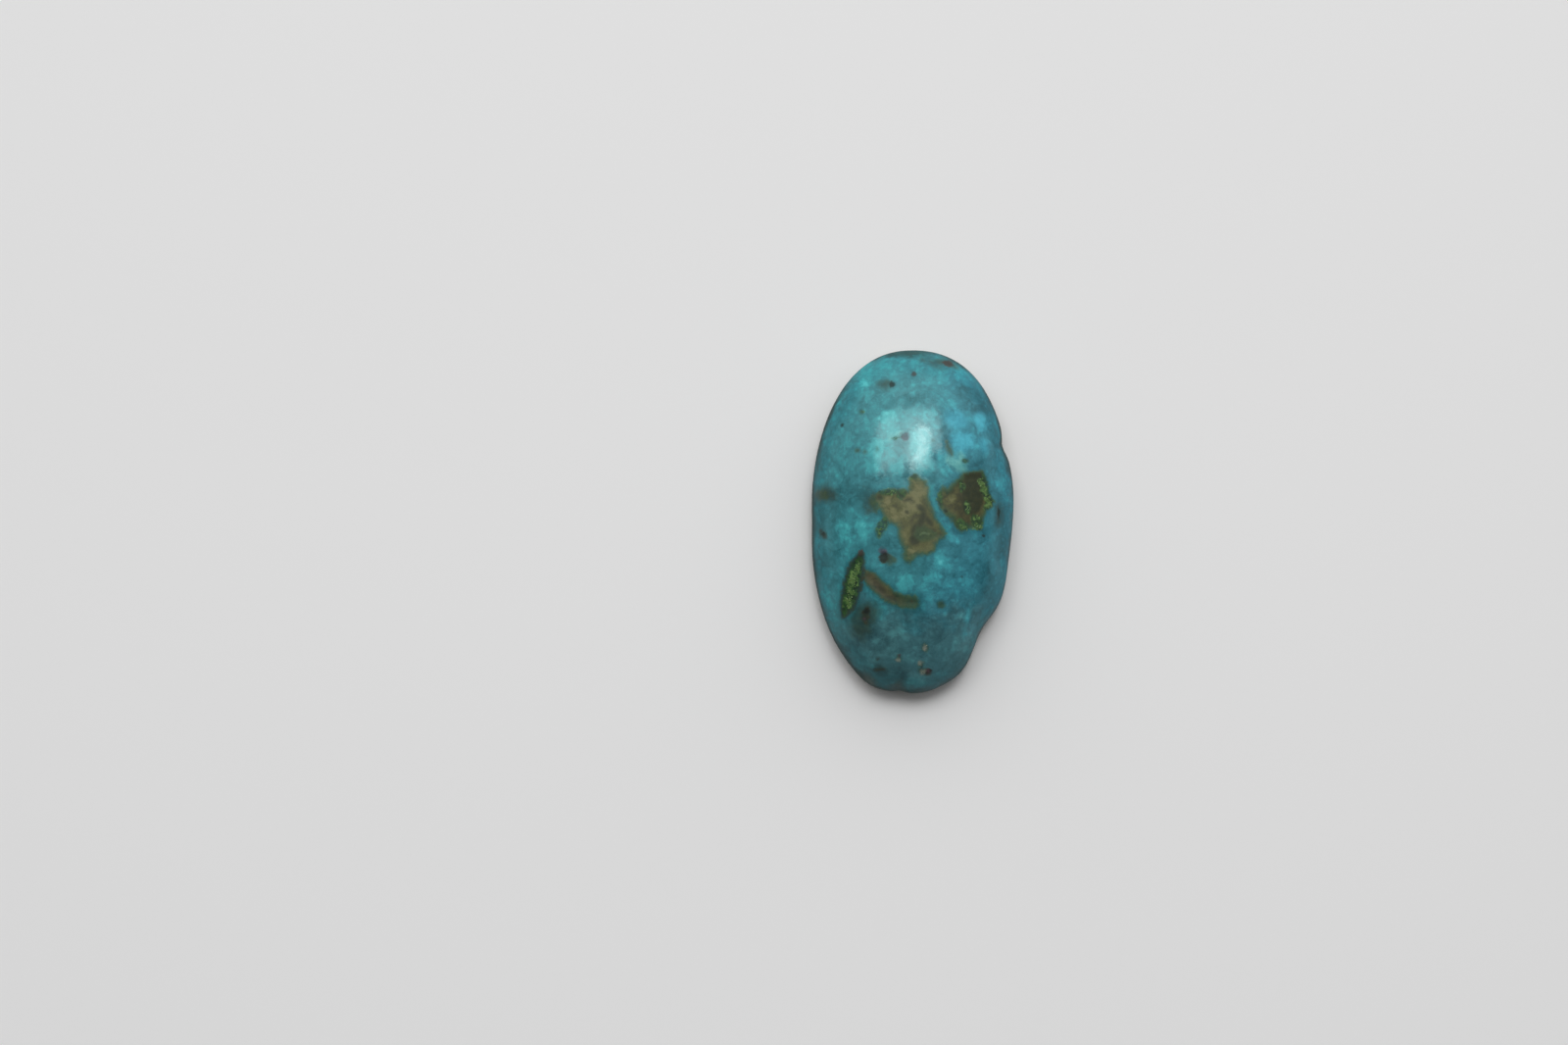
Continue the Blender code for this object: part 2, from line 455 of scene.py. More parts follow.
FOOT_PIT = Spot((1.1, -15.2), 0.42)
RIGHT_SLOT = Stroke(((8.5, 1.6), (8.6, 0.9), (8.5, 0.1)), 0.3, 0.5)
LEFT_PIT = Stroke(((-9.3, -0.9), (-9.1, -1.2), (-8.85, -1.6)), 0.32, 0.5)
TOP_STREAK = Stroke(((1.0, 16.4), (2.0, 16.15), (3.0, 16.2), (3.55, 16.1), (4.0, 15.85)), 0.3, 0.3)
NOTCH_GROOVE = Stroke(((9.3, 8.1), (8.6, 7.6), (7.9, 7.4)), 0.42)

MARKS: dict[Sign, tuple[Mark, ...]] = {
    Sign.TAN: (TAN_PATCH, RIGHT_PATCH),
    Sign.SAND: (
        Stroke(((0.5, 3.8), (0.8, 3.2)), 0.7, 0.8),
        Stroke(((-0.8, 0.9), (-0.2, 1.2), (-0.1, 2.4)), 0.8),
        Stroke(((-2.6, 1.7), (-2.0, 0.9)), 0.35, 0.8),
        Stroke(((-0.7, -3.6), (-0.5, -2.9)), 0.3, 0.8),
        Stroke(((2.9, 2.9), (3.7, 2.4)), 0.4, 0.8),
    ),
    Sign.CORE: (DARK_CORE,),
    Sign.BAND: (BROWN_BAND,),
    Sign.LEAF: (GREEN_HOLLOW,),
    Sign.GREEN: (
        Stroke(((-3.6, 3.0), (-2.8, 3.0), (-1.9, 3.1), (-0.9, 3.15)), 0.3),
        Stroke(((-1.75, 2.6), (-1.3, 2.6), (-0.9, 2.9)), 0.32),
        Stroke(((-2.9, 0.35), (-3.15, -0.25), (-3.45, -0.75), (-3.6, -1.5)), 0.52),
        Stroke(((-0.4, 4.5), (0.3, 4.6)), 0.2),
        Stroke(((6.9, 4.9), (7.1, 3.9), (7.2, 3.0), (7.6, 2.1), (7.2, 1.3)), 0.38),
        Stroke(((4.5, 0.3), (4.8, -0.4), (5.4, -0.5)), 0.45),
        Stroke(((5.9, 0.6), (6.3, 0.1), (6.5, -0.7)), 0.5),
        Stroke(((4.5, 4.15), (4.85, 3.6), (4.7, 3.0)), 0.22),
        Stroke(((5.2, 2.0), (5.35, 1.4), (5.4, 0.9)), 0.26),
        Stroke(((2.6, 3.1), (2.45, 2.2), (2.7, 1.5)), 0.24),
        Spot((-5.25, 11.1), 0.2), Spot((5.1, 6.1), 0.3), Spot((-1.95, 8.38), 0.2),
    ),
    Sign.BRIGHT: (
        Stroke(((-5.5, -4.1), (-5.98, -5.4), (-6.25, -6.4), (-6.42, -7.4), (-6.65, -8.7)), 0.38),
        Stroke(((6.6, 4.5), (6.75, 3.97), (7.0, 3.3), (7.1, 2.7)), 0.3),
        Stroke(((7.2, 2.6), (7.6, 1.95), (7.2, 1.4)), 0.26),
        Stroke(((5.2, 1.9), (5.35, 1.4), (5.4, 0.95)), 0.17),
        Stroke(((5.9, 0.5), (6.3, 0.35), (6.6, 0.5)), 0.18),
        Stroke(((6.3, -0.1), (6.45, -0.8)), 0.4), Stroke(((4.65, -0.3), (4.95, -0.7), (5.35, -0.5)), 0.24),
        Stroke(((4.5, 4.1), (4.8, 3.6)), 0.13), Stroke(((-3.3, -0.6), (-3.5, -1.25)), 0.17),
        Stroke(((-2.9, 2.85), (-1.8, 2.95)), 0.12),
    ),
    Sign.POOL: (
        EYE,
        Stroke(((-4.1, 2.9), (-4.15, 2.2), (-4.0, 1.5), (-3.75, 0.9)), 0.36),
        Stroke(((-2.9, -3.75), (-2.15, -3.85)), 0.48, 0.8), Stroke(((-2.1, 8.35), (-1.3, 8.6)), 0.1, 0.7),
        Stroke(((3.2, 8.1), (3.5, 7.3), (3.75, 6.7)), 0.28, 0.4),
        Stroke(((3.2, 0.9), (3.9, 0.3), (4.4, -0.6)), 0.3), Stroke(((0.7, -15.0), (1.5, -15.2)), 0.32, 0.7),
        Spot((-3.35, 2.35), 0.24), Spot((-5.65, 7.2), 0.24), Spot((-4.9, 7.05), 0.18), Spot((-9.0, 2.7), 0.5),
        Spot((-3.7, 7.3), 0.16), Spot((1.92, 8.15), 0.12), Spot((2.7, -8.28), 0.42),
        Spot((1.12, -12.65), 0.38), Spot((-1.5, -13.75), 0.3), Spot((0.72, -14.35), 0.3),
    ),
    Sign.ARC: (Stroke(((0.45, -1.4), (0.75, -1.15), (1.15, -1.1), (1.55, -1.3)), 0.12),),
    Sign.ROSE: (
        Spot((-0.94, 8.62), 0.42), Spot((-3.15, -2.95), 0.34), Spot((-4.95, -9.75), 0.12),
        Spot((-1.4, -13.55), 0.1), Spot((1.5, -15.1), 0.1),
    ),
    Sign.DARK: (
        TOP_PIT, Spot((-3.08, -3.52), 0.46), Spot((-4.75, -9.0), 0.34), Spot((-7.2, 9.77), 0.15),
        Spot((7.0, -1.35), 0.13), Spot((-1.35, -13.6), 0.06), Spot((0.85, -14.72), 0.14),
        Spot((1.8, -15.0), 0.1), Spot((4.85, -5.55), 0.1), Spot((2.2, 10.5), 0.1), Spot((3.1, 1.15), 0.16),
        Spot((-9.1, -1.15), 0.16), Stroke(((8.6, 1.3), (8.62, 0.9), (8.58, 0.4)), 0.08, 0.5),
    ),
    Sign.RUST: (
        SMALL_TOP_PIT, Stroke(((-5.2, -2.85), (-5.45, -3.5)), 0.26),
        Stroke(((3.1, 16.18), (3.55, 16.1), (3.95, 15.9)), 0.34),
        Stroke(((1.1, -15.2), (1.8, -15.1)), 0.26, 0.7),
    ),
    Sign.SHADE: (
        TAN_CRACK, EYE_SHADOW, SMUDGE_PIT, LEFT_PIT,
        Spot((-3.0, -3.6), 0.55), Spot((-3.55, 2.5), 0.24), Spot((-3.6, -13.9), 0.14),
        # Painted shadow along the green hollow's right rim.
        Stroke(((-5.0, -4.6), (-5.18, -6.0), (-5.5, -7.4)), 0.16),
        Stroke(((-1.0, 2.1), (-0.5, 2.25), (0.0, 1.9)), 0.2), Stroke(((-0.9, 1.1), (-0.5, 0.9)), 0.16),
        Stroke(((0.9, 0.9), (0.8, 0.3), (0.5, -0.3)), 0.34, 0.6),
        Stroke(((0.2, -0.1), (-0.1, -0.7), (-0.3, -1.3)), 0.2), Stroke(((1.2, 0.4), (1.7, -0.3)), 0.24, 0.6),
        Stroke(((-3.6, -6.5), (-2.9, -7.1)), 0.2), Stroke(((-0.5, -8.0), (0.2, -7.9)), 0.12),
        Stroke(((-4.1, -14.95), (-3.0, -14.95)), 0.16),
    ),
    Sign.PALE: (
        Spot((1.1, -12.65), 0.19), Spot((-1.55, -13.9), 0.16), Spot((0.65, -14.2), 0.2),
        Spot((0.95, -15.15), 0.24),
    ),
    Sign.SMUDGE: (
        RIGHT_SLOT, TOP_STREAK, Spot((-4.6, -16.0), 0.7), Spot((-1.5, -16.5), 0.5),
        Stroke(((-4.75, -9.0), (-5.1, -9.8), (-5.3, -10.6)), 1.1, 0.9),
        Stroke(((-9.7, 2.75), (-9.0, 2.85), (-8.3, 2.75)), 0.6),
        Stroke(((-4.5, 3.1), (-4.6, 2.2), (-4.3, 1.3)), 0.35, 0.7),
        Stroke(((-2.3, 13.9), (-3.6, 13.9)), 0.35), Stroke(((-4.1, -14.95), (-3.0, -14.95)), 0.35),
    ),
    Sign.SKY: (
        Spot((4.9, 8.1), 1.15), Stroke(((3.9, 10.5), (4.7, 10.0)), 0.85, 0.9),
        Stroke(((6.7, 10.4), (6.95, 9.4)), 0.6, 0.8), Stroke(((6.95, 8.3), (7.15, 7.3)), 0.4, 0.7),
    ),
    Sign.MINT: (
        Stroke(((3.4, 6.2), (4.2, 5.9), (4.9, 5.3)), 0.5, 0.7),
        Stroke(((4.6, 6.7), (5.0, 5.9)), 0.36, 0.7), Stroke(((-2.4, 8.4), (-1.1, 8.75)), 0.24, 0.7),
    ),
    Sign.CLOUD_AND_SHEEN: (
        # The clouds over the upper middle, from x -4 to 3 and y 5 to 11, lie under the highlight and are
        # partly painted highlight.
        Stroke(((-2.6, 10.6), (-2.4, 9.4), (-2.5, 8.3)), 0.7, 0.7),
        Stroke(((-3.6, 7.9), (-3.9, 6.4), (-4.2, 5.2)), 0.75, 0.8),
        Stroke(((-2.5, 7.0), (-1.8, 5.9), (-1.7, 5.2)), 0.6, 0.8),
        Stroke(((0.4, 8.9), (0.9, 7.6), (1.0, 6.0), (1.1, 4.9)), 0.95, 0.7),
        Stroke(((2.6, 6.6), (3.0, 5.4)), 0.55, 0.8), Stroke(((1.2, 10.2), (2.1, 9.4)), 0.4, 0.7),
        Stroke(((1.6, 3.6), (1.9, 2.4), (2.1, 1.4)), 0.5, 0.6),
        Stroke(((1.9, 0.8), (3.1, -0.7), (4.2, -1.9)), 0.35, 0.5),
        Stroke(((1.5, -5.7), (2.2, -5.2)), 0.45, 0.7), Stroke(((-1.2, -6.6), (-0.6, -5.9)), 0.65, 0.8),
        Stroke(((4.4, -9.7), (5.4, -9.2)), 0.35, 0.6), Stroke(((3.9, -12.7), (4.4, -12.2)), 0.3, 0.6),
        Stroke(((-4.0, -12.3), (-3.4, -11.9)), 0.35, 0.6), Stroke(((-2.4, -11.4), (-1.4, -10.8)), 0.4, 0.6),
        Stroke(((-7.4, -0.2), (-7.0, -1.4)), 0.5, 0.6), Stroke(((-5.4, -0.2), (-5.2, -1.0)), 0.6, 0.7),
        Stroke(((8.6, 4.3), (8.8, 3.4)), 0.4, 0.6), Stroke(((9.4, 2.7), (9.4, 2.0)), 0.3, 0.6),
        Stroke(((1.3, 11.0), (2.0, 10.9)), 0.25, 0.5), Stroke(((3.5, 11.8), (4.1, 11.6)), 0.25, 0.5),
        Stroke(((6.7, 10.4), (6.95, 9.4)), 0.52, 0.8), Stroke(((-0.6, -16.3), (0.8, -16.4)), 0.4, 0.7),
        Stroke(((-4.9, 14.0), (-4.2, 13.9)), 0.25, 0.5), Stroke(((-7.5, 12.0), (-6.9, 12.9)), 0.35, 0.6),
        Spot((4.9, 8.1), 0.8), Spot((2.65, -3.8), 0.65), Spot((2.25, -4.5), 0.4), Spot((1.6, -7.4), 0.5),
        Spot((-3.0, -10.2), 0.35), Spot((0.0, 12.75), 0.25),
    ),
    Sign.VEIL: (
        Stroke(((4.6, 13.6), (6.0, 12.6), (7.2, 11.6)), 0.8, 0.7),
        Stroke(((-0.6, -9.8), (1.0, -10.4), (2.4, -10.8)), 1.0, 0.7),
        Stroke(((7.4, -4.6), (7.8, -6.4), (7.0, -8.6)), 0.6, 0.6),
        Stroke(((-1.5, -2.2), (-2.4, -2.6), (-3.6, -2.4)), 0.7, 0.7),
        Stroke(((-8.0, 2.7), (-6.2, 2.7), (-4.8, 2.3)), 0.7, 0.7),
        Stroke(((9.1, 2.4), (9.2, -0.6), (8.9, -3.6)), 0.4, 0.7),
        Stroke(((-4.6, -11.0), (-5.6, -12.2)), 0.9, 0.7), Stroke(((2.95, 9.0), (3.2, 8.0)), 0.3, 0.7),
        Stroke(((-3.0, -15.0), (-1.0, -15.6)), 0.9, 0.7), Stroke(((-9.2, -3.0), (-9.2, -5.0)), 0.6, 0.7),
        Stroke(((-9.5, 2.0), (-9.6, -1.0)), 0.5, 0.7), Stroke(((-7.8, 1.4), (-8.0, -3.0)), 0.3, 0.7),
        Spot((1.4, -10.9), 0.5), Spot((6.5, 5.7), 0.5),
    ),
}
FAR_OUTSIDE = -3.0


@dataclass(frozen=True)
class Hollow:
    """Marks that lie below the skin round them."""

    marks: tuple[Mark, ...]
    edge: float
    depth: float

    def sink(self, places: np.ndarray) -> np.ndarray:
        """Depth below the skin at each place."""
        share = (cover_of(self.marks, places) / self.edge).clip(0.0, 1.0)
        return self.depth * share * share * (3.0 - 2.0 * share)


HOLLOWS = (
    Hollow((TAN_PATCH, RIGHT_PATCH), 0.8, 0.03),
    Hollow((DARK_CORE,), 0.6, 0.04),
    Hollow((GREEN_HOLLOW,), 0.6, 0.12),
    Hollow((BROWN_BAND,), 0.5, 0.03),
    Hollow((RED_PIT, TOP_PIT, SMUDGE_PIT), 0.4, 0.06),
    Hollow((TAN_CRACK, EYE_SHADOW, SMALL_TOP_PIT, FOOT_PIT), 0.4, 0.04),
    Hollow((RIGHT_SLOT, LEFT_PIT, TOP_STREAK, NOTCH_GROOVE), 0.3, 0.04),
)


class GeometryRule(Graph):
    """A Geometry Nodes tree that makes one piece, with a named input for each of its sizes."""

    def __init__(self, name: str) -> None:
        """Start the tree.

        Args:
            name: Name of the tree, and of the mesh that it makes.
        """
        super().__init__(bpy.data.node_groups.new(name, "GeometryNodeTree"))
        self.name = name
        self.values: dict[str, object] = {}
        self.tree.interface.new_socket("Geometry", in_out="INPUT", socket_type="NodeSocketGeometry")
        self.tree.interface.new_socket("Geometry", in_out="OUTPUT", socket_type="NodeSocketGeometry")
        self.entry = self.add("NodeGroupInput")

    def size(self, name: str, value: Union[int, float]) -> Field:
        """Add a named input.

        Args:
            name: What the input is called.
            value: What the modifier gives it.

        Returns:
            The input as a field.
        """
        kind = "NodeSocketInt" if isinstance(value, int) else "NodeSocketFloat"
        socket = self.tree.interface.new_socket(name, in_out="INPUT", socket_type=kind)
        self.values[socket.identifier] = value
        return self.take(self.entry, name)

    def end(self, geometry: Field, material: bpy.types.Material) -> None:
        """Close the tree with Realize Instances and Set Material.

        Args:
            geometry: What the tree made.
            material: Its material.
        """
        real = self.take(self.add("GeometryNodeRealizeInstances", {0: geometry}))
        dressed = self.take(self.add("GeometryNodeSetMaterial", {0: real, "Material": material}))
        self.add("NodeGroupOutput", {0: dressed})

    def make(self, surface: bpy.types.Mesh | None = None) -> bpy.types.Mesh:
        """Run the tree once.

        Args:
            surface: Mesh that the tree works on, where it needs one.

        Returns:
            A plain mesh of what it made.
        """
        holder = new_object(self.name, surface or bpy.data.meshes.new(self.name))
        modifier = holder.modifiers.new(self.name, "NODES")
        modifier.node_group = self.tree
        for identifier, value in self.values.items():
            modifier[identifier] = value
        depsgraph = bpy.context.evaluated_depsgraph_get()
        made = bpy.data.meshes.new_from_object(
            holder.evaluated_get(depsgraph), preserve_all_data_layers=True, depsgraph=depsgraph
        )
        bpy.data.objects.remove(holder, do_unlink=True)
        if made.materials[0] is None:
            made.materials.pop(index=0)
        return made


@dataclass(frozen=True)
class Surface:
    """What one layer of a material gives its shader; the height is in millimetres."""

    colour: Field
    roughness: Value
    height: Value

    def under(self, upper: Surface, share: Field) -> Surface:
        """This layer with another over it.

        Args:
            upper: The layer that lies over this one.
            share: How much of the upper layer shows, from 0 to 1.

        Returns:
            The two layers as one.
        """
        graph = share.graph
        return Surface(
            graph.blend(share, self.colour, upper.colour),
            graph.between(share, self.roughness, upper.roughness),
            graph.between(share, self.height, upper.height),
        )


@dataclass(frozen=True)
class StoneGrain:
    """Noise that every layer of the stone shares, so that one layer runs on into the next.

    The clouds and levels lie about 0. The lumps, seams and wisps go from 0 to 1.
    """

    places: Field
    zone: Field
    patch: Field
    mottle: Field
    grit: Field
    cell: Field
    lump: Field
    seam: Field
    chip: Field
    wisp: Field

    @property
    def graph(self) -> Graph:
        """Tree of the material."""
        return self.places.graph

    @classmethod
    def read(cls, places: Field) -> StoneGrain:
        """Make the noise.

        Args:
            places: Places in millimetres.

        Returns:
            The noise as fields.
        """
        graph = places.graph
        drift = graph.wander(places, 0.35, 1.2)
        fine = graph.wander(drift, 1.8, 0.32, 2.0)
        distance, cell = graph.grains(fine, 1.1, 0.4)
        lump_distance, lump = graph.grains(fine, 1.9, 0.25)
        _, chip = graph.grains(fine, 3.4)
        return cls(
            places=places,
            zone=graph.cloud(drift, 0.16, 1.0) - 0.5,
            patch=graph.cloud(fine, 0.6, 3.0, 0.55) - 0.5,
            mottle=graph.cloud(fine, 1.9, 4.0, 0.6) - 0.5,
            grit=graph.cloud(places, 6.0, 3.0, 0.6) - 0.5,
            cell=cell - 0.5,
            lump=graph.ease(lump, 0.5, 0.85) * graph.ease(lump_distance, 0.6, 0.15),
            seam=graph.ease(distance, 0.42, 0.72),
            chip=chip - 0.5,
            wisp=graph.ease(abs(graph.cloud(fine, 0.8, 2.0) - 0.52), 0.05, 0.0),
        )


@dataclass(frozen=True)
class TurquoiseFinish:
    """Polished turquoise: watery blue-green, mottled with paler lumps, soft wisps and darker veils."""

    deep: tuple = srgb(34, 74, 80)
    dark: tuple = srgb(42, 101, 108)
    middle: tuple = srgb(60, 132, 141)
    light: tuple = srgb(68, 163, 169)
    pale: tuple = srgb(104, 211, 212)
    sky_deep: tuple = srgb(54, 146, 168)
    sky: tuple = srgb(80, 182, 204)
    # Colours of the lower end: partly the stone's own zoning, partly painted shade.
    low_deep: tuple = srgb(50, 76, 82)
    low: tuple = srgb(94, 138, 140)
    # Painted shade: colour that the rim is blended towards.
    edge: tuple = srgb(8, 50, 54)
    blue_cast: tuple = (1.0, 1.0, 1.09, 1.0)
    green_cast: tuple = (0.94, 1.0, 0.99, 1.0)
    # Painted shade: darker cast of the flank near the rim.
    flank_shade_cast: tuple = (0.55, 0.88, 0.92, 1.0)
    polish: float = 0.16
    dull_height: float = 5.0
    dull_fade: float = 2.6
    flank_height: float = 4.6
    flank_fade: float = 1.9
    rim_shade_height: float = 3.2
    rim_shade_fade: float = 1.3
    upper_end: float = 12.0
    upper_fade: float = 4.0

    def surface(self, grain: StoneGrain, signs: dict[Sign, Field]) -> Surface:
        """Layer of turquoise.

        Args:
            grain: The stone's noise.
            signs: The stone's markings.

        Returns:
            The layer.
        """
        graph = grain.graph
        x, y, z = graph.parts(grain.places)
        # Pale clouds lighten the tone; over the upper middle, under the highlight, they are partly painted
        # highlight.
        cloud = graph.ease(signs[Sign.CLOUD_AND_SHEEN] + grain.patch * 1.2 + grain.mottle, -0.45, 0.3)
        veil = graph.ease(signs[Sign.VEIL] + grain.patch * 2.4 + grain.mottle, -1.0, 0.5)
        tone = 0.49 + grain.zone * 0.2 + grain.patch * 0.3 + grain.mottle * 0.34 + grain.cell * 0.12
        tone = tone + grain.lump * 0.1 + grain.wisp * 0.04 - grain.seam * 0.04 + grain.grit * 0.1
        # Painted light: the upper end, which faces the light, is made a little lighter.
        upper = graph.ease(y, self.upper_end, self.upper_end + self.upper_fade)
        tone = tone + cloud * 0.16 - veil * 0.13 + upper * 0.07
        colour = graph.ramp(tone, (
            (0.1, self.deep), (0.3, self.dark), (0.5, self.middle), (0.68, self.light), (0.95, self.pale),
        ))
        blue = graph.ease(x - y * 0.1 + grain.zone * 10.0, -2.0, 6.0)
        colour = graph.tint(blue, colour, self.blue_cast)
        colour = graph.tint(graph.ease(grain.zone * 20.0 - x, 0.0, 9.0), colour, self.green_cast)
        sky = graph.ease(signs[Sign.SKY] + grain.patch * 1.0 + grain.mottle * 0.6, -0.6, 0.6)
        colour = graph.blend(sky * 0.7, colour, graph.ramp(tone, ((0.3, self.sky_deep), (0.7, self.sky))))
        # Darker, greyer turquoise towards the foot: partly the stone's own zoning, partly painted shade of
        # the lower end, away from the light.
        low = graph.ease(y + grain.patch * 9.0 + grain.zone * 6.0, -6.5, -11.5)
        colour = graph.blend(low * 0.66, colour, graph.ramp(tone, ((0.25, self.low_deep), (0.75, self.low))))
        # Painted shade along the rim: the flank is tinted darker and the rim blended towards the edge colour,
        # both less at the upper end, where the light falls.
        ragged_height = z + grain.zone * 2.0 + grain.patch * 2.0
        flank = graph.ease(ragged_height, self.flank_height + self.flank_fade, self.flank_height)
        colour = graph.tint(flank * (1.0 - upper * 0.4), colour, self.flank_shade_cast)
        edge = graph.ease(ragged_height, self.rim_shade_height + self.rim_shade_fade, self.rim_shade_height)
        colour = graph.blend(edge * (1.0 - upper * 0.7) * 0.8, colour, self.edge)
        dull = graph.ease(ragged_height, self.dull_height + self.dull_fade, self.dull_height)
        roughness = self.polish + grain.patch * 0.4 + grain.cell * 0.12 + dull * 0.56
        height = grain.grit * 0.002 + grain.cell * 0.003 + grain.mottle * 0.004
        return Surface(colour, roughness, height)


@dataclass(frozen=True)
class HostRockFinish:
    """Brown to olive host rock, softer and duller than the turquoise."""

    shadow: tuple = srgb(42, 40, 18)
    brown: tuple = srgb(70, 64, 32)
    tan: tuple = srgb(90, 88, 46)
    light: tuple = srgb(116, 112, 72)
    dullness: float = 0.55

    def surface(self, grain: StoneGrain, shade: Value) -> Surface:
        """Layer of host rock.

        Args:
            grain: The stone's noise.
            shade: How far the rock is from its usual tone, below 0 for darker.

        Returns:
            The layer.
        """
        tone = 0.5 + shade + grain.patch + grain.mottle * 0.7 + grain.lump * 0.06 + grain.grit * 0.2
        stops = ((0.1, self.shadow), (0.34, self.brown), (0.58, self.tan), (0.85, self.light))
        height = grain.grit * 0.004 + grain.mottle * 0.005
        return Surface(grain.graph.ramp(tone, stops), self.dullness + grain.mottle * 0.3, height)


@dataclass(frozen=True)
class GreenMineralFinish:
    """Green mineral in and round the host rock, broken up in angular flecks."""

    dark: tuple = srgb(24, 46, 24)
    green: tuple = srgb(46, 84, 36)
    bright: tuple = srgb(104, 134, 70)
    dullness: float = 0.5

    def surface(self, grain: StoneGrain, brightness: float) -> Surface:
        """Layer of green mineral.

        Args:
            grain: The stone's noise.
            brightness: From 0 for dim to 1 for bright.

        Returns:
            The layer.
        """
        tone = brightness * 0.5 + 0.2 + grain.mottle + grain.chip * 0.5
        colour = grain.graph.ramp(tone, ((0.05, self.dark), (0.4, self.green), (0.9, self.bright)))
        return Surface(colour, self.dullness, grain.chip * 0.015)


@dataclass(frozen=True)
class PlainFinish:
    """A mineral of nearly one colour, mottled from a darker to a lighter tone."""

    dark: tuple
    light: tuple
    dullness: float

    def surface(self, grain: StoneGrain) -> Surface:
        """Layer of the mineral."""
        colour = grain.graph.ramp(grain.mottle + 0.5, ((0.3, self.dark), (0.7, self.light)))
        return Surface(colour, self.dullness, grain.mottle * 0.02)


DARK_OXIDE = PlainFinish(srgb(8, 12, 8), srgb(24, 26, 18), 0.7)
RUSTY_OXIDE = PlainFinish(srgb(40, 28, 26), srgb(74, 52, 46), 0.7)
ROSY_STAIN = PlainFinish(srgb(58, 38, 60), srgb(92, 60, 78), 0.5)
SOFT_BROWN = PlainFinish(srgb(36, 36, 14), srgb(54, 50, 26), 0.6)
PALE_CRYSTAL = PlainFinish(srgb(118, 132, 122), srgb(158, 164, 154), 0.5)
PALE_GREEN = PlainFinish(srgb(76, 98, 62), srgb(102, 118, 80), 0.45)
OLIVE_CORE = PlainFinish(srgb(38, 40, 16), srgb(54, 52, 24), 0.5)
OLIVE_POOL = PlainFinish(srgb(34, 56, 28), srgb(58, 76, 38), 0.5)
OLIVE_FRINGE = PlainFinish(srgb(38, 68, 40), srgb(66, 90, 48), 0.45)
# Olive stain of the smudges and the band; laid round the green hollow, it is painted shadow.
OLIVE_STAIN_AND_SHADE = PlainFinish(srgb(30, 48, 42), srgb(50, 64, 46), 0.5)
MINT_STAIN = PlainFinish(srgb(84, 166, 166), srgb(126, 198, 192), 0.3)
# Dark band along the foot of the dome: partly host-rock stain, partly painted shade along the rim.
FOOT_STAIN_AND_SHADE = PlainFinish(srgb(18, 40, 36), srgb(36, 50, 36), 0.8)


SMALL_SIGNS = frozenset((
    Sign.LEAF, Sign.GREEN, Sign.BRIGHT, Sign.POOL, Sign.ARC, Sign.ROSE, Sign.DARK, Sign.RUST, Sign.SHADE,
    Sign.PALE,
))


@dataclass
class Skin:
    """The stone's skin while its layers are laid, and how far inside each ragged marking a point lies."""

    grain: StoneGrain
    edge: dict[Sign, Field]
    surface: Surface

    def lay(self, upper: Surface, value: Field, start: float, full: float, strength: Value = 1.0) -> None:
        """Lay a layer over the rest.

        Args:
            upper: The layer.
            value: What says where it lies.
            start: Value at which it begins to show.
            full: Value from which it shows in full strength.
            strength: How much of it shows there, from 0 to 1.
        """
        self.surface = self.surface.under(upper, self.grain.graph.ease(value, start, full) * strength)


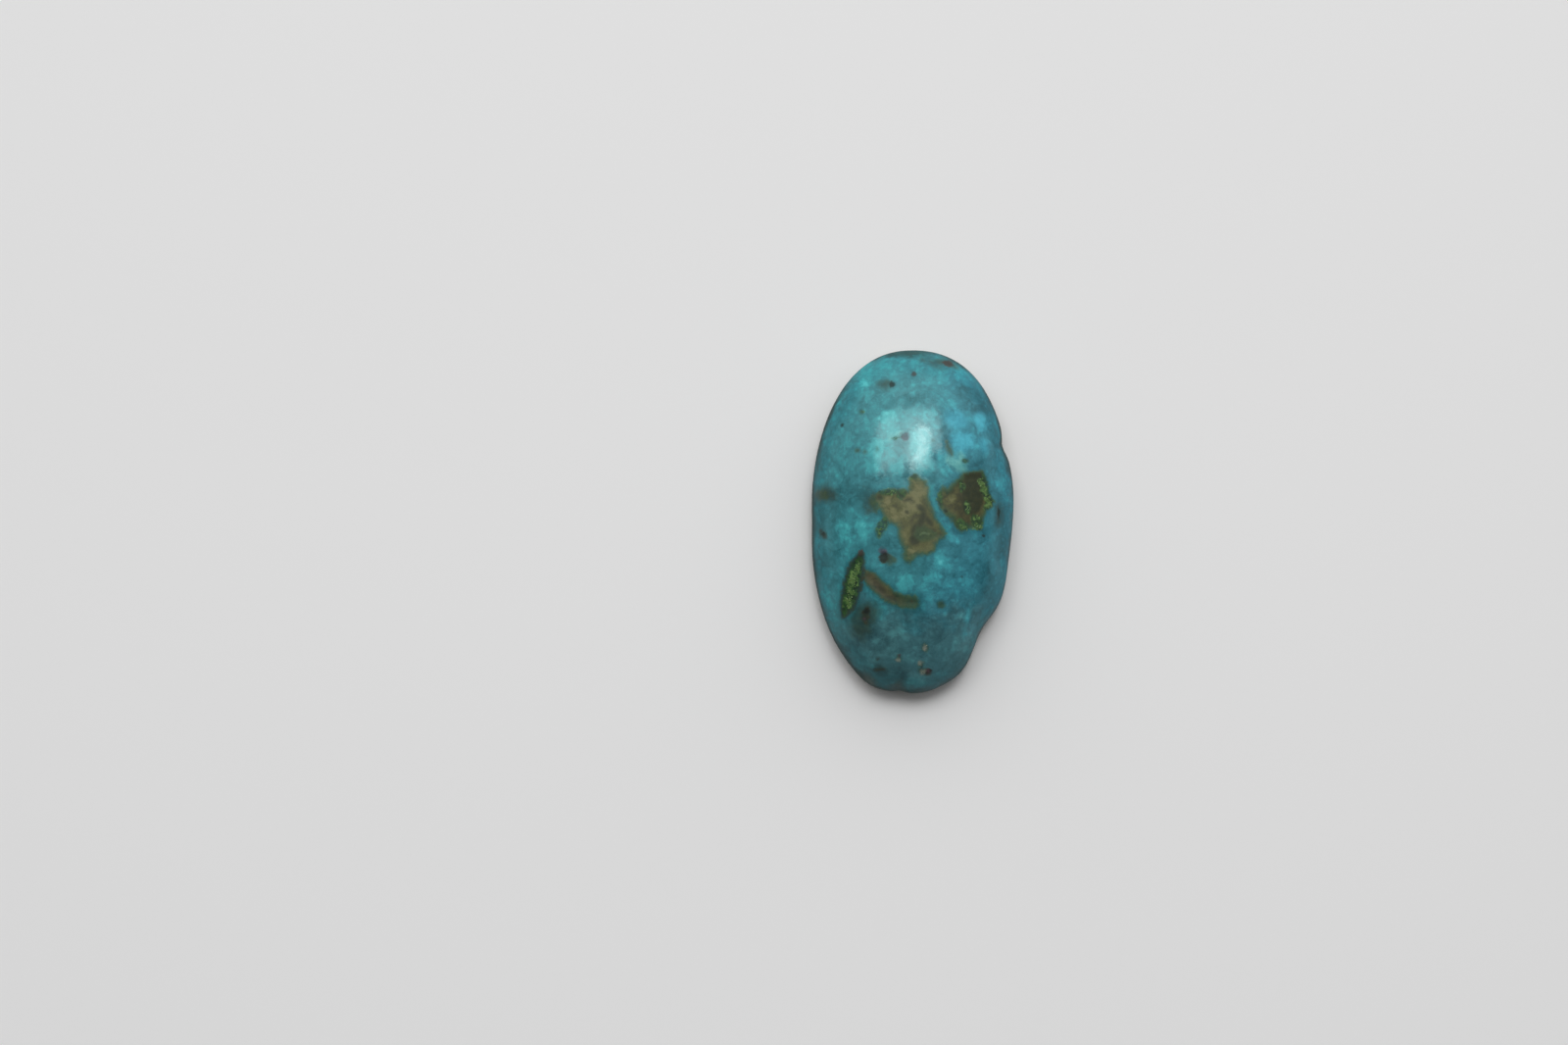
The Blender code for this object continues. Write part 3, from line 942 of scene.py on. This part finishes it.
@dataclass(frozen=True)
class StoneDress:
    """The stone's whole material: turquoise with host rock and minerals laid into it, and a ground back."""

    turquoise: TurquoiseFinish = TurquoiseFinish()
    rock: HostRockFinish = HostRockFinish()
    green: GreenMineralFinish = GreenMineralFinish()
    bump_reach: float = 1.0 * MM
    ior: float = 1.55
    sheen_tint: tuple = (0.7, 0.98, 0.95, 1.0)
    # Darker tint round the host rock and the green hollow; round the hollow it is painted shadow.
    halo_shade: tuple = (0.62, 0.72, 0.72, 1.0)
    stain_and_shade_height: float = 3.8
    rim_height: float = 2.6
    rock_height: float = 1.6
    rock_full_height: float = 0.8

    def material(self) -> bpy.types.Material:
        """Make the material.

        Returns:
            The stone's material.
        """
        material, graph = new_material("polished_turquoise")
        coordinates = graph.take(graph.add("ShaderNodeTexCoord"), "Object")
        mapping = graph.add("ShaderNodeMapping", {"Vector": coordinates, "Scale": (1.0 / MM,) * 3})
        surface = self.layers(StoneGrain.read(graph.take(mapping)))
        bump = graph.add("ShaderNodeBump", {"Height": surface.height, "Distance": self.bump_reach})
        graph.shade({
            "Base Color": surface.colour, "Roughness": surface.roughness, "Normal": graph.take(bump),
            "IOR": self.ior, "Specular Tint": self.sheen_tint,
        })
        return material

    def layers(self, grain: StoneGrain) -> Surface:
        """Lay every marking over the turquoise, the widest first.

        Args:
            grain: The stone's noise.

        Returns:
            The whole skin.
        """
        graph = grain.graph
        signs = {}
        for sign in Sign:
            signs[sign] = graph.take(graph.add("ShaderNodeAttribute", attribute_name=sign.value), "Fac")
        ragged = grain.patch * 0.8 + grain.mottle * 0.6
        tight = grain.mottle * 0.7 + grain.grit * 0.2
        edge = {sign: signs[sign] + (tight if sign in SMALL_SIGNS else ragged) for sign in Sign}
        skin = Skin(grain, edge, self.turquoise.surface(grain, signs))
        self.stains(skin)
        self.host_rock(skin)
        self.minerals(skin)
        self.lower_parts(skin, signs[Sign.BACK])
        return skin.surface

    def stains(self, skin: Skin) -> None:
        """Lay soft stains into the turquoise, darken it round the host rock and the green hollow, and lay a
        greener fringe there; round the green hollow the darkening is painted shadow.

        Args:
            skin: The turquoise alone.
        """
        grain, edge = skin.grain, skin.edge
        skin.lay(OLIVE_STAIN_AND_SHADE.surface(grain), edge[Sign.SMUDGE] + grain.patch * 1.5, -0.75, 0.55, 0.8)
        skin.lay(MINT_STAIN.surface(grain), edge[Sign.MINT], -0.4, 0.4, 0.75)
        # Darkens a band round the host rock and the green hollow; round the green hollow it is painted
        # shadow.
        near = edge[Sign.TAN].at_least(edge[Sign.BAND]).at_least(edge[Sign.LEAF] - 0.2)
        halo = grain.graph.ease(near + grain.zone * 2.0, -1.1, 0.0)
        colour = grain.graph.tint(halo, skin.surface.colour, self.halo_shade)
        skin.surface = replace(skin.surface, colour=colour)
        skin.lay(OLIVE_FRINGE.surface(grain), near, -0.36, 0.1, 0.85)

    def host_rock(self, skin: Skin) -> None:
        """Lay the host rock into the turquoise: tan, brown to the right, with a dark core there.

        Args:
            skin: The turquoise with its stains.
        """
        grain, edge = skin.grain, skin.edge
        ease = grain.graph.ease
        x, y, _ = grain.graph.parts(grain.places)
        brown = ease(x + y * 0.3, -2.6, 0.6) * 0.14 + ease(x, 2.0, 3.2) * 0.1
        pale = ease(edge[Sign.SAND] + grain.patch, -0.5, 0.3) * 0.38
        rock = self.rock.surface(grain, 0.1 + pale - brown)
        olive = ease(edge[Sign.TAN], 0.7, 0.1) * 0.4 + ease(y + grain.patch * 4.0, -2.4, -3.6) * 0.5
        rock = rock.under(OLIVE_FRINGE.surface(grain), olive)
        skin.lay(rock, edge[Sign.TAN], -0.1, 0.34)
        along = x + grain.patch * 2.0
        band = self.rock.surface(grain, -0.06 - ease(x, -3.6, -1.6) * 0.12)
        band = band.under(OLIVE_STAIN_AND_SHADE.surface(grain), ease(along, -3.4, 0.2) * 0.6)
        band = band.under(ROSY_STAIN.surface(grain), ease(along, -1.6, -3.8) * 0.24)
        skin.lay(band, edge[Sign.BAND], -0.24, 0.4, 0.9 - ease(x, -2.4, 0.0) * 0.52)
        skin.lay(OLIVE_CORE.surface(grain), edge[Sign.CORE], -0.12, 0.14)

    def minerals(self, skin: Skin) -> None:
        """Lay the green minerals, the rust, the dark spots and the pale crystals over the rest.

        Args:
            skin: The turquoise with its host rock.
        """
        grain, edge = skin.grain, skin.edge
        dim_green = self.green.surface(grain, 0.1)
        bright_green = self.green.surface(grain, 0.85)
        skin.lay(OLIVE_POOL.surface(grain), edge[Sign.POOL], -0.26, 0.26, 0.8)
        skin.lay(dim_green, edge[Sign.GREEN], -0.2, 0.16, 0.85)
        # Painted shadow: a dark olive ring round the green hollow stands in for the shade at its rim.
        skin.lay(OLIVE_STAIN_AND_SHADE.surface(grain), edge[Sign.LEAF], -0.34, 0.02, 0.9)
        skin.lay(dim_green, edge[Sign.LEAF], 0.0, 0.26)
        skin.lay(bright_green, edge[Sign.BRIGHT] + grain.chip * 0.3, -0.08, 0.14, 0.85)
        skin.lay(SOFT_BROWN.surface(grain), edge[Sign.SHADE] + grain.patch * 0.4, -0.2, 0.2, 0.8)
        skin.lay(RUSTY_OXIDE.surface(grain), edge[Sign.RUST], -0.16, 0.14, 0.8)
        skin.lay(ROSY_STAIN.surface(grain), edge[Sign.ROSE], -0.2, 0.16, 0.7)
        skin.lay(DARK_OXIDE.surface(grain), edge[Sign.DARK], -0.14, 0.14, 0.85)
        skin.lay(PALE_GREEN.surface(grain), edge[Sign.ARC] - grain.mottle * 0.5, -0.08, 0.08, 0.75)
        skin.lay(PALE_CRYSTAL.surface(grain), edge[Sign.PALE], -0.2, 0.12, 0.75)

    def lower_parts(self, skin: Skin, back: Field) -> None:
        """Lay a dark band round the foot of the dome and the lower wall, partly host-rock stain and partly
        painted shade, then host rock along the lower wall and over most of the ground back.

        Args:
            skin: The skin with all its markings.
            back: 1 on the back, 0 elsewhere.
        """
        grain = skin.grain
        _, _, z = grain.graph.parts(grain.places)
        # A dark band along the foot of the dome and the lower wall: partly host-rock stain, partly painted
        # shade along the rim.
        stain_and_shade_line = z + grain.zone * 5.0 + grain.patch * 2.0
        skin.lay(FOOT_STAIN_AND_SHADE.surface(grain), stain_and_shade_line, self.stain_and_shade_height, self.rim_height, 0.7)
        rock_line = z + grain.zone * 7.0 + grain.patch * 3.0
        skin.lay(self.rock.surface(grain, -0.12), rock_line, self.rock_height, self.rock_full_height, 0.8)
        skin.lay(self.rock.surface(grain, 0.1), grain.zone * 6.0 + grain.patch * 2.0, -0.35, 0.1, back * 0.9)


@dataclass
class DomeRule:
    """The plain stone: a superellipse in plan and in section, with the departures of a hand-cut outline."""

    length: float
    width: float
    height: float
    girdle_height: float = 2.1
    wall_draw: float = 5.4
    arris_height: float = 0.3
    plan_power: float = 2.22
    dome_power: float = 2.15
    fade: float = 4.0
    dome_rings: int = 114
    wall_rings: int = 14

    DEPARTURES = {
        "full right shoulder": (52.0, 0.014, 14.0),
        "notch on the right": (26.0, -0.031, 2.8),
        "swell under the notch": (11.0, 0.010, 6.0),
        "flat on the left": (180.0, -0.010, 6.0),
        "full lower left": (245.0, 0.016, 7.0),
        "dent at the foot": (263.0, -0.011, 3.0),
        "rubbed foot": (290.0, -0.015, 8.0),
        "ground flat on the lower right": (317.0, -0.101, 10.0),
        "flat above it": (346.0, -0.030, 9.0),
    }
    SWELLS = {
        "right shoulder": ((6.0, 9.5), 0.16, 3.4),
        "left flank": ((-7.5, -1.5), -0.13, 4.2),
        "lower left": ((-3.5, -12.5), 0.14, 3.2),
        "above the ground flat": ((6.0, -10.5), -0.22, 2.8),
        "left shoulder": ((-4.5, 11.0), -0.08, 3.0),
    }

    @property
    def rings(self) -> int:
        """Rings from the top of the dome to the foot of the wall."""
        return self.dome_rings + self.wall_rings

    def mesh(self, material: bpy.types.Material) -> bpy.types.Mesh:
        """Make the skin from the top to the foot of the wall, open below.

        Args:
            material: The stone's material.

        Returns:
            A grid whose square rings have become rings round the stone, in metres.
        """
        rule = GeometryRule("plain_dome")
        rings = rule.size("Rings", self.rings)
        count = rings * 2.0 + 1.0
        sizes = {"Size X": 2.0, "Size Y": 2.0, "Vertices X": count, "Vertices Y": count}
        grid = rule.take(rule.add("GeometryNodeMeshGrid", sizes))
        across, along, _ = rule.parts(rule.take(rule.add("GeometryNodeInputPosition")))
        step = abs(across).at_least(abs(along))
        turn = self.turn(rule, across, along)
        reach, height = self.profile(rule, step)
        plan_power = rule.size("Plan power", self.plan_power)
        cosine = rule.math("COSINE", turn)
        sine = rule.math("SINE", turn)
        oval = (abs(cosine) ** plan_power + abs(sine) ** plan_power) ** (-1.0 / plan_power)
        fade = rule.size("Fade of the departures", self.fade)
        reach = reach * oval * (1.0 + self.departure(rule, rule.math("DEGREES", turn)) * reach ** fade)
        x = reach * cosine * rule.size("Half width", 0.5 * self.width)
        y = reach * sine * rule.size("Half length", 0.5 * self.length)
        above = ((height - self.girdle_height) / (self.height - self.girdle_height)).at_least(0.0)
        z = height + self.swell(rule, x, y) * above
        place = rule.scaled(rule.combine(x, y, z), MM)
        dome = rule.add("GeometryNodeSetPosition", {"Geometry": grid, "Position": place})
        rule.end(rule.take(dome), material)
        return rule.make()

    def turn(self, rule: Graph, across: Field, along: Field) -> Field:
        """Angle round the stone of a point of the square grid, so that each square becomes an even ring.

        Args:
            rule: The dome's tree.
            across: The point's x, from -1 to 1.
            along: The point's y, from -1 to 1.

        Returns:
            The angle in radians.
        """
        sideways = (abs(across) + 1e-7).over(abs(along))
        behind = rule.math("LESS_THAN", across, 0.0)
        below = rule.math("LESS_THAN", along, 0.0)
        side_turn = along / across * (0.25 * math.pi) + behind * math.pi
        end_turn = (0.5 + below) * math.pi - across / along * (0.25 * math.pi)
        return side_turn * sideways + end_turn * (1.0 - sideways)

    def profile(self, rule: GeometryRule, step: Field) -> tuple[Field, Field]:
        """The stone's section.

        Args:
            rule: The dome's tree.
            step: How far down the section, from 0 on top to 1 at the foot of the wall.

        Returns:
            Share of the full reach, and the height.
        """
        girdle = rule.size("Girdle height", self.girdle_height)
        rise = rule.size("Height", self.height) - girdle
        power = rule.size("Dome power", self.dome_power)
        dome_share = self.dome_rings / self.rings
        along = (step / dome_share).at_most(1.0)
        tilt = along * (along + 2.0) * (math.pi / 6.0)
        reach = rule.math("SINE", tilt).at_least(0.0) ** (2.0 / power)
        height = rule.math("COSINE", tilt).at_least(0.0) ** (2.0 / power)
        below = ((step - dome_share) / (1.0 - dome_share)).at_least(0.0)
        drop = below * (girdle - rule.size("Arris height", self.arris_height))
        draw = (1.0 - (drop / rule.size("Wall draw", self.wall_draw)) ** power) ** (1.0 / power)
        return reach * draw, girdle + rise * height - drop

    def departure(self, rule: Graph, degrees: Field) -> Field:
        """Departure of the outline from its plain oval.

        Args:
            rule: The dome's tree.
            degrees: Angle round the stone.

        Returns:
            Share of the reach by which the outline stands out, or in where it is negative.
        """
        total = 0.0
        for middle, share, spread in self.DEPARTURES.values():
            away = rule.math("WRAP", degrees - middle, 180.0, -180.0)
            total = total + bell(away, spread) * share
        return total

    def swell(self, rule: Graph, x: Field, y: Field) -> Field:
        """Departure of the dome from its plain curve.

        Args:
            rule: The dome's tree.
            x: Place to the right.
            y: Place towards the upper end.

        Returns:
            Height above the plain curve.
        """
        total = 0.0
        for middle, height, spread in self.SWELLS.values():
            away = rule.math("SQRT", (x - middle[0]) ** 2.0 + (y - middle[1]) ** 2.0)
            total = total + bell(away, spread) * height
        return total


def vertex_values(mesh: bpy.types.Mesh, name: str) -> np.ndarray:
    """Read a mesh's vertices.

    Args:
        mesh: The mesh.
        name: "co" for their places, or "normal" for their normals.

    Returns:
        Rows of three numbers.
    """
    rows = np.empty(len(mesh.vertices) * 3, np.float32)
    collection = mesh.vertices if name == "co" else mesh.vertex_normals
    collection.foreach_get("co" if name == "co" else "vector", rows)
    return rows.reshape(-1, 3).astype(float)


def ripple(places: np.ndarray, wave: float, seed: float) -> np.ndarray:
    """Soft noise from 0 to about 1 at each place, with waves of about the given length."""
    offset = Vector((seed, -seed, 0.5 * seed))
    return np.array([0.5 + 0.5 * noise.noise(Vector(place) / wave + offset) for place in places])


@dataclass
class PolishedStone:
    """The stone: its plain form, the hollows of its softer parts, its worn skin, its back and markings."""

    low: Vector
    high: Vector
    arris_inset: float = 0.3
    back_rings: int = 24
    back_middle: float = 0.6
    undulation: tuple = ((2.6, 0.013), (0.9, 0.005), (0.35, 0.002))
    seed_step: float = 10.0
    rock_grain: tuple = (0.4, 0.01)
    rock_fade: float = 0.3
    rock_seed: float = 50.0
    crisp_angle: float = math.radians(35.0)
    dome_stretch: float = 0.7
    wall_stretch: float = 1.5
    back_scale: float = 0.6
    chart_gap: float = 0.7

    def build(self, material: bpy.types.Material) -> bpy.types.Object:
        """Make the stone as one closed mesh that fills the solid's box.

        Args:
            material: The stone's material.

        Returns:
            The stone, at the origin.
        """
        size = (self.high - self.low) / MM
        rule = DomeRule(length=size.y, width=size.x, height=size.z)
        skin = rule.mesh(material)
        plain = vertex_values(skin, "co") / MM
        normals = vertex_values(skin, "normal")
        places = plain[:, :2]
        places_out = self.fit(plain - normals * self.sink(places)[:, None])
        places_out -= normals * self.wear(plain, places)[:, None]
        skin.vertices.foreach_set("co", (places_out * MM).astype(np.float32).ravel())
        mesh = self.close(skin)
        self.mark(mesh, places)
        self.unroll(mesh, len(places), rule.girdle_height)
        self.clamp(mesh)
        mesh.shade_smooth()
        mesh.set_sharp_from_angle(angle=self.crisp_angle)
        return new_object("polished_stone", mesh)

    def sink(self, places: np.ndarray) -> np.ndarray:
        """Depth of the hollows at each place in plan."""
        return np.max([hollow.sink(places) for hollow in HOLLOWS], axis=0)

    def wear(self, plain: np.ndarray, places: np.ndarray) -> np.ndarray:
        """Fine unevenness of the skin, deeper and rougher where it is host rock.

        Args:
            plain: Points of the plain dome.
            places: Their places in plan.

        Returns:
            Depth at each point.
        """
        depth = np.zeros(len(plain))
        for seed, (wave, height) in enumerate(self.undulation):
            depth += height * ripple(plain, wave, self.seed_step * seed)
        rock = cover_of(MARKS[Sign.TAN] + MARKS[Sign.BAND] + MARKS[Sign.LEAF], places)
        wave, height = self.rock_grain
        rough = (rock / self.rock_fade).clip(0.0, 1.0)
        near = rough > 0.0
        depth[near] += height * rough[near] * ripple(plain[near], wave, self.rock_seed)
        return depth

    def fit(self, points: np.ndarray) -> np.ndarray:
        """Bring points to the solid's box, with the footprint's middle on the origin.

        Args:
            points: The points, in millimetres. They are changed.

        Returns:
            The same points.
        """
        low, high = points.min(axis=0), points.max(axis=0)
        size = np.array((self.high - self.low) / MM)
        points[:, :2] = (points[:, :2] - 0.5 * (low + high)[:2]) * (size / (high - low))[:2]
        points[:, 2] *= size[2] / high[2]
        return points

    def close(self, skin: bpy.types.Mesh) -> bpy.types.Mesh:
        """Turn the foot of the wall in to the back plane and close the back with even rings.

        Args:
            skin: A square grid whose outermost square is the foot of the wall.

        Returns:
            The closed stone. The skin's points come first, in their order.
        """
        points = vertex_values(skin, "co")
        corners = np.empty(len(skin.loops), np.int32)
        skin.loops.foreach_get("vertex_index", corners)
        faces = corners.reshape(-1, 4).tolist()
        count = math.isqrt(len(points))
        grid = np.arange(len(points)).reshape(count, count)
        outer = np.concatenate((grid[:-1, 0], grid[-1, :-1], grid[:0:-1, -1], grid[0, :0:-1]))
        rim = points[outer, :2]
        shares = [1.0 - self.arris_inset * MM / np.hypot(*rim.T)[:, None]]
        shares += [1.0 - 1.0 / (left + self.back_middle) for left in range(self.back_rings - 1, 0, -1)]
        for share in shares:
            rim = rim * share
            inner = np.arange(len(points), len(points) + len(rim))
            points = np.vstack((points, np.pad(rim, ((0, 0), (0, 1)))))
            faces += np.stack((inner, np.roll(inner, -1), np.roll(outer, -1), outer), axis=1).tolist()
            outer = inner
        middle = np.full(len(outer), len(points))
        faces += np.stack((middle, np.roll(outer, -1), outer), axis=1).tolist()
        points = np.vstack((points, (*rim.mean(axis=0), 0.0)))
        mesh = bpy.data.meshes.new("polished_stone")
        mesh.from_pydata(points.tolist(), [], faces)
        mesh.materials.append(skin.materials[0])
        return mesh

    def mark(self, mesh: bpy.types.Mesh, places: np.ndarray) -> None:
        """Give the mesh's points their markings.

        Args:
            mesh: The closed stone, with the skin's points first and then the back's.
            places: Places in plan of the skin's points.
        """
        for sign in Sign:
            values = np.full(len(mesh.vertices), FAR_OUTSIDE, np.float32)
            if sign is Sign.BACK:
                values[:len(places)] = 0.0
                values[len(places):] = 1.0
            else:
                values[:len(places)] = cover_of(MARKS[sign], places).clip(FAR_OUTSIDE, -FAR_OUTSIDE)
            attribute = mesh.attributes.new(sign.value, "FLOAT", "POINT")
            attribute.data.foreach_set("value", values)

    def unroll(self, mesh: bpy.types.Mesh, skin_points: int, girdle_height: float) -> None:
        """Lay the skin and the back out as two charts of one UV map.

        Args:
            mesh: The closed stone.
            skin_points: How many of its points belong to the skin.
            girdle_height: Height of the widest ring.
        """
        points = vertex_values(mesh, "co") / MM
        plan, heights = points[:, :2], points[:, 2]
        dome_drop = heights.max() - heights.clip(girdle_height)
        wall_drop = (girdle_height - heights).clip(0.0)
        drop = self.dome_stretch * dome_drop + self.wall_stretch * wall_drop
        skin_chart = plan * (1.0 + drop / np.hypot(*plan.T).clip(1e-6))[:, None]
        back_chart = plan * self.back_scale
        skin_span = np.ptp(skin_chart[:skin_points], axis=0)
        back_width = np.ptp(back_chart[:, 0])
        gap = self.chart_gap
        side = max(skin_span[1], skin_span[0] + back_width + gap) + 2.0 * gap
        skin_chart = (skin_chart + (gap + 0.5 * skin_span[0], 0.5 * side)) / side
        back_chart = (back_chart + (side - gap - 0.5 * back_width, 0.5 * side)) / side
        corners = np.empty(len(mesh.loops), np.int32)
        mesh.loops.foreach_get("vertex_index", corners)
        starts = np.empty(len(mesh.polygons), np.int32)
        mesh.polygons.foreach_get("loop_start", starts)
        on_back = np.maximum.reduceat(corners, starts) >= skin_points
        on_back = np.repeat(on_back, np.diff(np.append(starts, len(corners))))
        places = np.where(on_back[:, None], back_chart[corners], skin_chart[corners])
        layer = mesh.uv_layers.new(name="OFBake")
        layer.data.foreach_set("uv", places.astype(np.float32).ravel())

    def clamp(self, mesh: bpy.types.Mesh) -> None:
        """Keep every point inside the solid's box.

        Args:
            mesh: The closed stone.
        """
        points = vertex_values(mesh, "co").clip(tuple(self.low), tuple(self.high))
        mesh.vertices.foreach_set("co", points.astype(np.float32).ravel())
        mesh.update()


@dataclass
class CrystalCrust:
    """Tiny stubby crystals, half sunk in the skin and tumbled every way, strewn over one kind of marking."""

    name: str
    sign: Sign
    dark: tuple
    light: tuple
    spacing: float
    radius: tuple
    seed: int
    sides: int = 5
    taper: float = 0.6
    height: float = 1.7
    density: float = 60.0
    roughness: float = 0.5
    own_tone: float = 0.3

    def material(self) -> bpy.types.Material:
        """Make a glassy mineral that varies from crystal to crystal.

        Returns:
            The crystals' material.
        """
        material, graph = new_material(self.name)
        places = graph.scaled(graph.take(graph.add("ShaderNodeTexCoord"), "Object"), 1.0 / MM)
        _, level = graph.grains(places, 5.0)
        tone = graph.cloud(places, 1.6, 3.0, 0.6) * (1.0 - self.own_tone) + level * self.own_tone
        colour = graph.ramp(tone, ((0.25, self.dark), (0.75, self.light)))
        graph.shade({"Base Color": colour, "Roughness": self.roughness})
        return material

    def build(self, surface: bpy.types.Object) -> bpy.types.Object:
        """Strew the crystals over a surface.

        Args:
            surface: The stone.

        Returns:
            All the crystals as one piece.
        """
        rule = GeometryRule(self.name)
        spacing = rule.size("Spacing", self.spacing * MM)
        density = rule.size("Most in a square metre", self.density / MM ** 2)
        least = rule.size("Least radius", self.radius[0] * MM)
        most = rule.size("Greatest radius", self.radius[1] * MM)
        seed = rule.size("Seed", self.seed)
        cover = rule.add("GeometryNodeInputNamedAttribute", {"Name": self.sign.value}, data_type="FLOAT")
        inside = rule.ease(rule.take(cover), -0.05, 0.1)
        strewn = {
            "Mesh": rule.take(rule.entry, "Geometry"), "Distance Min": spacing, "Density Max": density,
            "Density Factor": inside, "Seed": seed,
        }
        scatter = rule.add("GeometryNodeDistributePointsOnFaces", strewn, distribute_method="POISSON")
        shape = {
            "Vertices": rule.size("Sides", self.sides), "Radius Top": rule.size("Taper", self.taper),
            "Radius Bottom": 1.0, "Depth": rule.size("Height", self.height),
        }
        prism = rule.take(rule.add("GeometryNodeMeshCone", shape))
        half_sunk = {"Geometry": prism, "Translation": (0.0, 0.0, -0.5 * self.height)}
        crystal = rule.add("GeometryNodeTransform", half_sunk)
        placed = {"Points": rule.take(scatter, "Points"), "Instance": rule.take(crystal)}
        for name, span in (("Rotation", {1: (math.tau,) * 3}), ("Scale", {0: least, 1: most})):
            chance = rule.add("FunctionNodeRandomValue", {**span, "Seed": seed}, data_type="FLOAT_VECTOR")
            placed[name] = rule.take(chance, 0)
        rule.end(rule.take(rule.add("GeometryNodeInstanceOnPoints", placed)), self.material())
        return new_object(self.name, rule.make(surface.data.copy()))


@dataclass(frozen=True)
class Softbox:
    """A flat soft light that hangs over the stone and faces it.

    Lean and across are degrees off the vertical, towards the stone's upper end and to the right. Distance,
    width and length are in metres.
    """

    name: str
    lean: float
    across: float
    distance: float
    width: float
    length: float
    radiance: float

    def hang(self) -> None:
        """Put the light in the scene."""
        data = bpy.data.lights.new(self.name, "AREA")
        data.shape = "RECTANGLE"
        data.size = self.width
        data.size_y = self.length
        data.energy = self.radiance * math.pi * self.width * self.length
        light = new_object(self.name, data)
        slopes = [math.tan(math.radians(angle)) for angle in (self.across, self.lean)]
        way = Vector((*slopes, 1.0)).normalized()
        light.location = way * self.distance
        light.rotation_euler = way.to_track_quat("Z", "Y").to_euler()


@dataclass
class Studio:
    """A plain pale floor, soft light from above, and a camera straight over the stone."""

    floor_side: float = 4.0
    floor_gap: float = 0.02 * MM
    floor_grey: float = 0.9
    floor_dullness: float = 0.9
    floor_sheen: float = 0.1
    camera_place: tuple = (-0.01313, -0.00007, 0.3799)
    camera_near: float = 0.01
    lens: float = 85.0
    sensor: float = 36.0
    sky_start: float = -0.1
    sky_low: float = 0.05
    sky_high: float = 1.1
    sky_lean: float = 70.0
    lights: tuple = (
        Softbox("broad_light", lean=25.5, across=-4.0, distance=0.6, width=0.46, length=0.22, radiance=3.3),
        Softbox("small_light", lean=20.5, across=3.6, distance=0.55, width=0.08, length=0.15, radiance=9.5),
    )

    def build(self) -> None:
        """Make the floor, the sky, the lights and the camera."""
        self.floor()
        self.sky()
        for light in self.lights:
            light.hang()
        self.camera()
        bpy.context.scene.view_settings.view_transform = "Standard"

    def floor(self) -> None:
        """Lay the floor that the stone rests on."""
        half = 0.5 * self.floor_side
        mesh = bpy.data.meshes.new("floor")
        corners = [(-half, -half), (half, -half), (half, half), (-half, half)]
        mesh.from_pydata([(x, y, -self.floor_gap) for x, y in corners], [], [(0, 1, 2, 3)])
        material, graph = new_material("pale_floor")
        graph.shade({
            "Base Color": (self.floor_grey,) * 3 + (1.0,), "Roughness": self.floor_dullness,
            "Specular IOR Level": self.floor_sheen,
        })
        mesh.materials.append(material)
        floor = new_object("floor", mesh)

    def sky(self) -> None:
        """Soft light from all round, strongest from behind the stone's upper end."""
        world = bpy.data.worlds.new("studio")
        bpy.context.scene.world = world
        world.use_nodes = True
        graph = Graph(world.node_tree)
        lean = math.radians(self.sky_lean)
        towards = (0.0, math.sin(lean), math.cos(lean))
        way = graph.take(graph.add("ShaderNodeTexCoord"), "Generated")
        product = graph.add("ShaderNodeVectorMath", {0: way, 1: towards}, operation="DOT_PRODUCT")
        share = graph.ease(graph.take(product, "Value"), self.sky_start, 1.0)
        strength = self.sky_low + share * (self.sky_high - self.sky_low)
        background = world.node_tree.nodes["Background"]
        background.inputs["Color"].default_value = (1.0, 1.0, 1.0, 1.0)
        graph.feed(background.inputs["Strength"], strength)

    def camera(self) -> None:
        """Hang the camera straight over the stone, with the stone to the right of the middle of the frame."""
        data = bpy.data.cameras.new("camera")
        data.lens = self.lens
        data.sensor_width = self.sensor
        data.clip_start = self.camera_near
        camera = new_object("camera", data)
        camera.location = self.camera_place
        bpy.context.scene.camera = camera


CRUSTS = (
    CrystalCrust("green_crystals", Sign.BRIGHT, srgb(54, 84, 44), srgb(110, 136, 80), 0.22, (0.05, 0.12), 7),
    CrystalCrust("pale_crystals", Sign.PALE, srgb(110, 126, 108), srgb(152, 158, 138), 0.14, (0.03, 0.06), 3),
)


def ride(piece: bpy.types.Object) -> None:
    """Fix a piece to the stone's body, and log it.

    Args:
        piece: The piece.
    """
    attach(piece, BODY)
    log.info("%s: %d faces", piece.name, len(piece.data.polygons))


def main() -> None:
    """Build the stone, its crystals and the studio."""
    logging.basicConfig(level=logging.INFO)
    Studio().build()
    low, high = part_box(NODE)
    stone = PolishedStone(low, high).build(StoneDress().material())
    ride(stone)
    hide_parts(NODE)
    for crust in CRUSTS:
        ride(crust.build(stone))


if __name__ == "__main__":
    main()
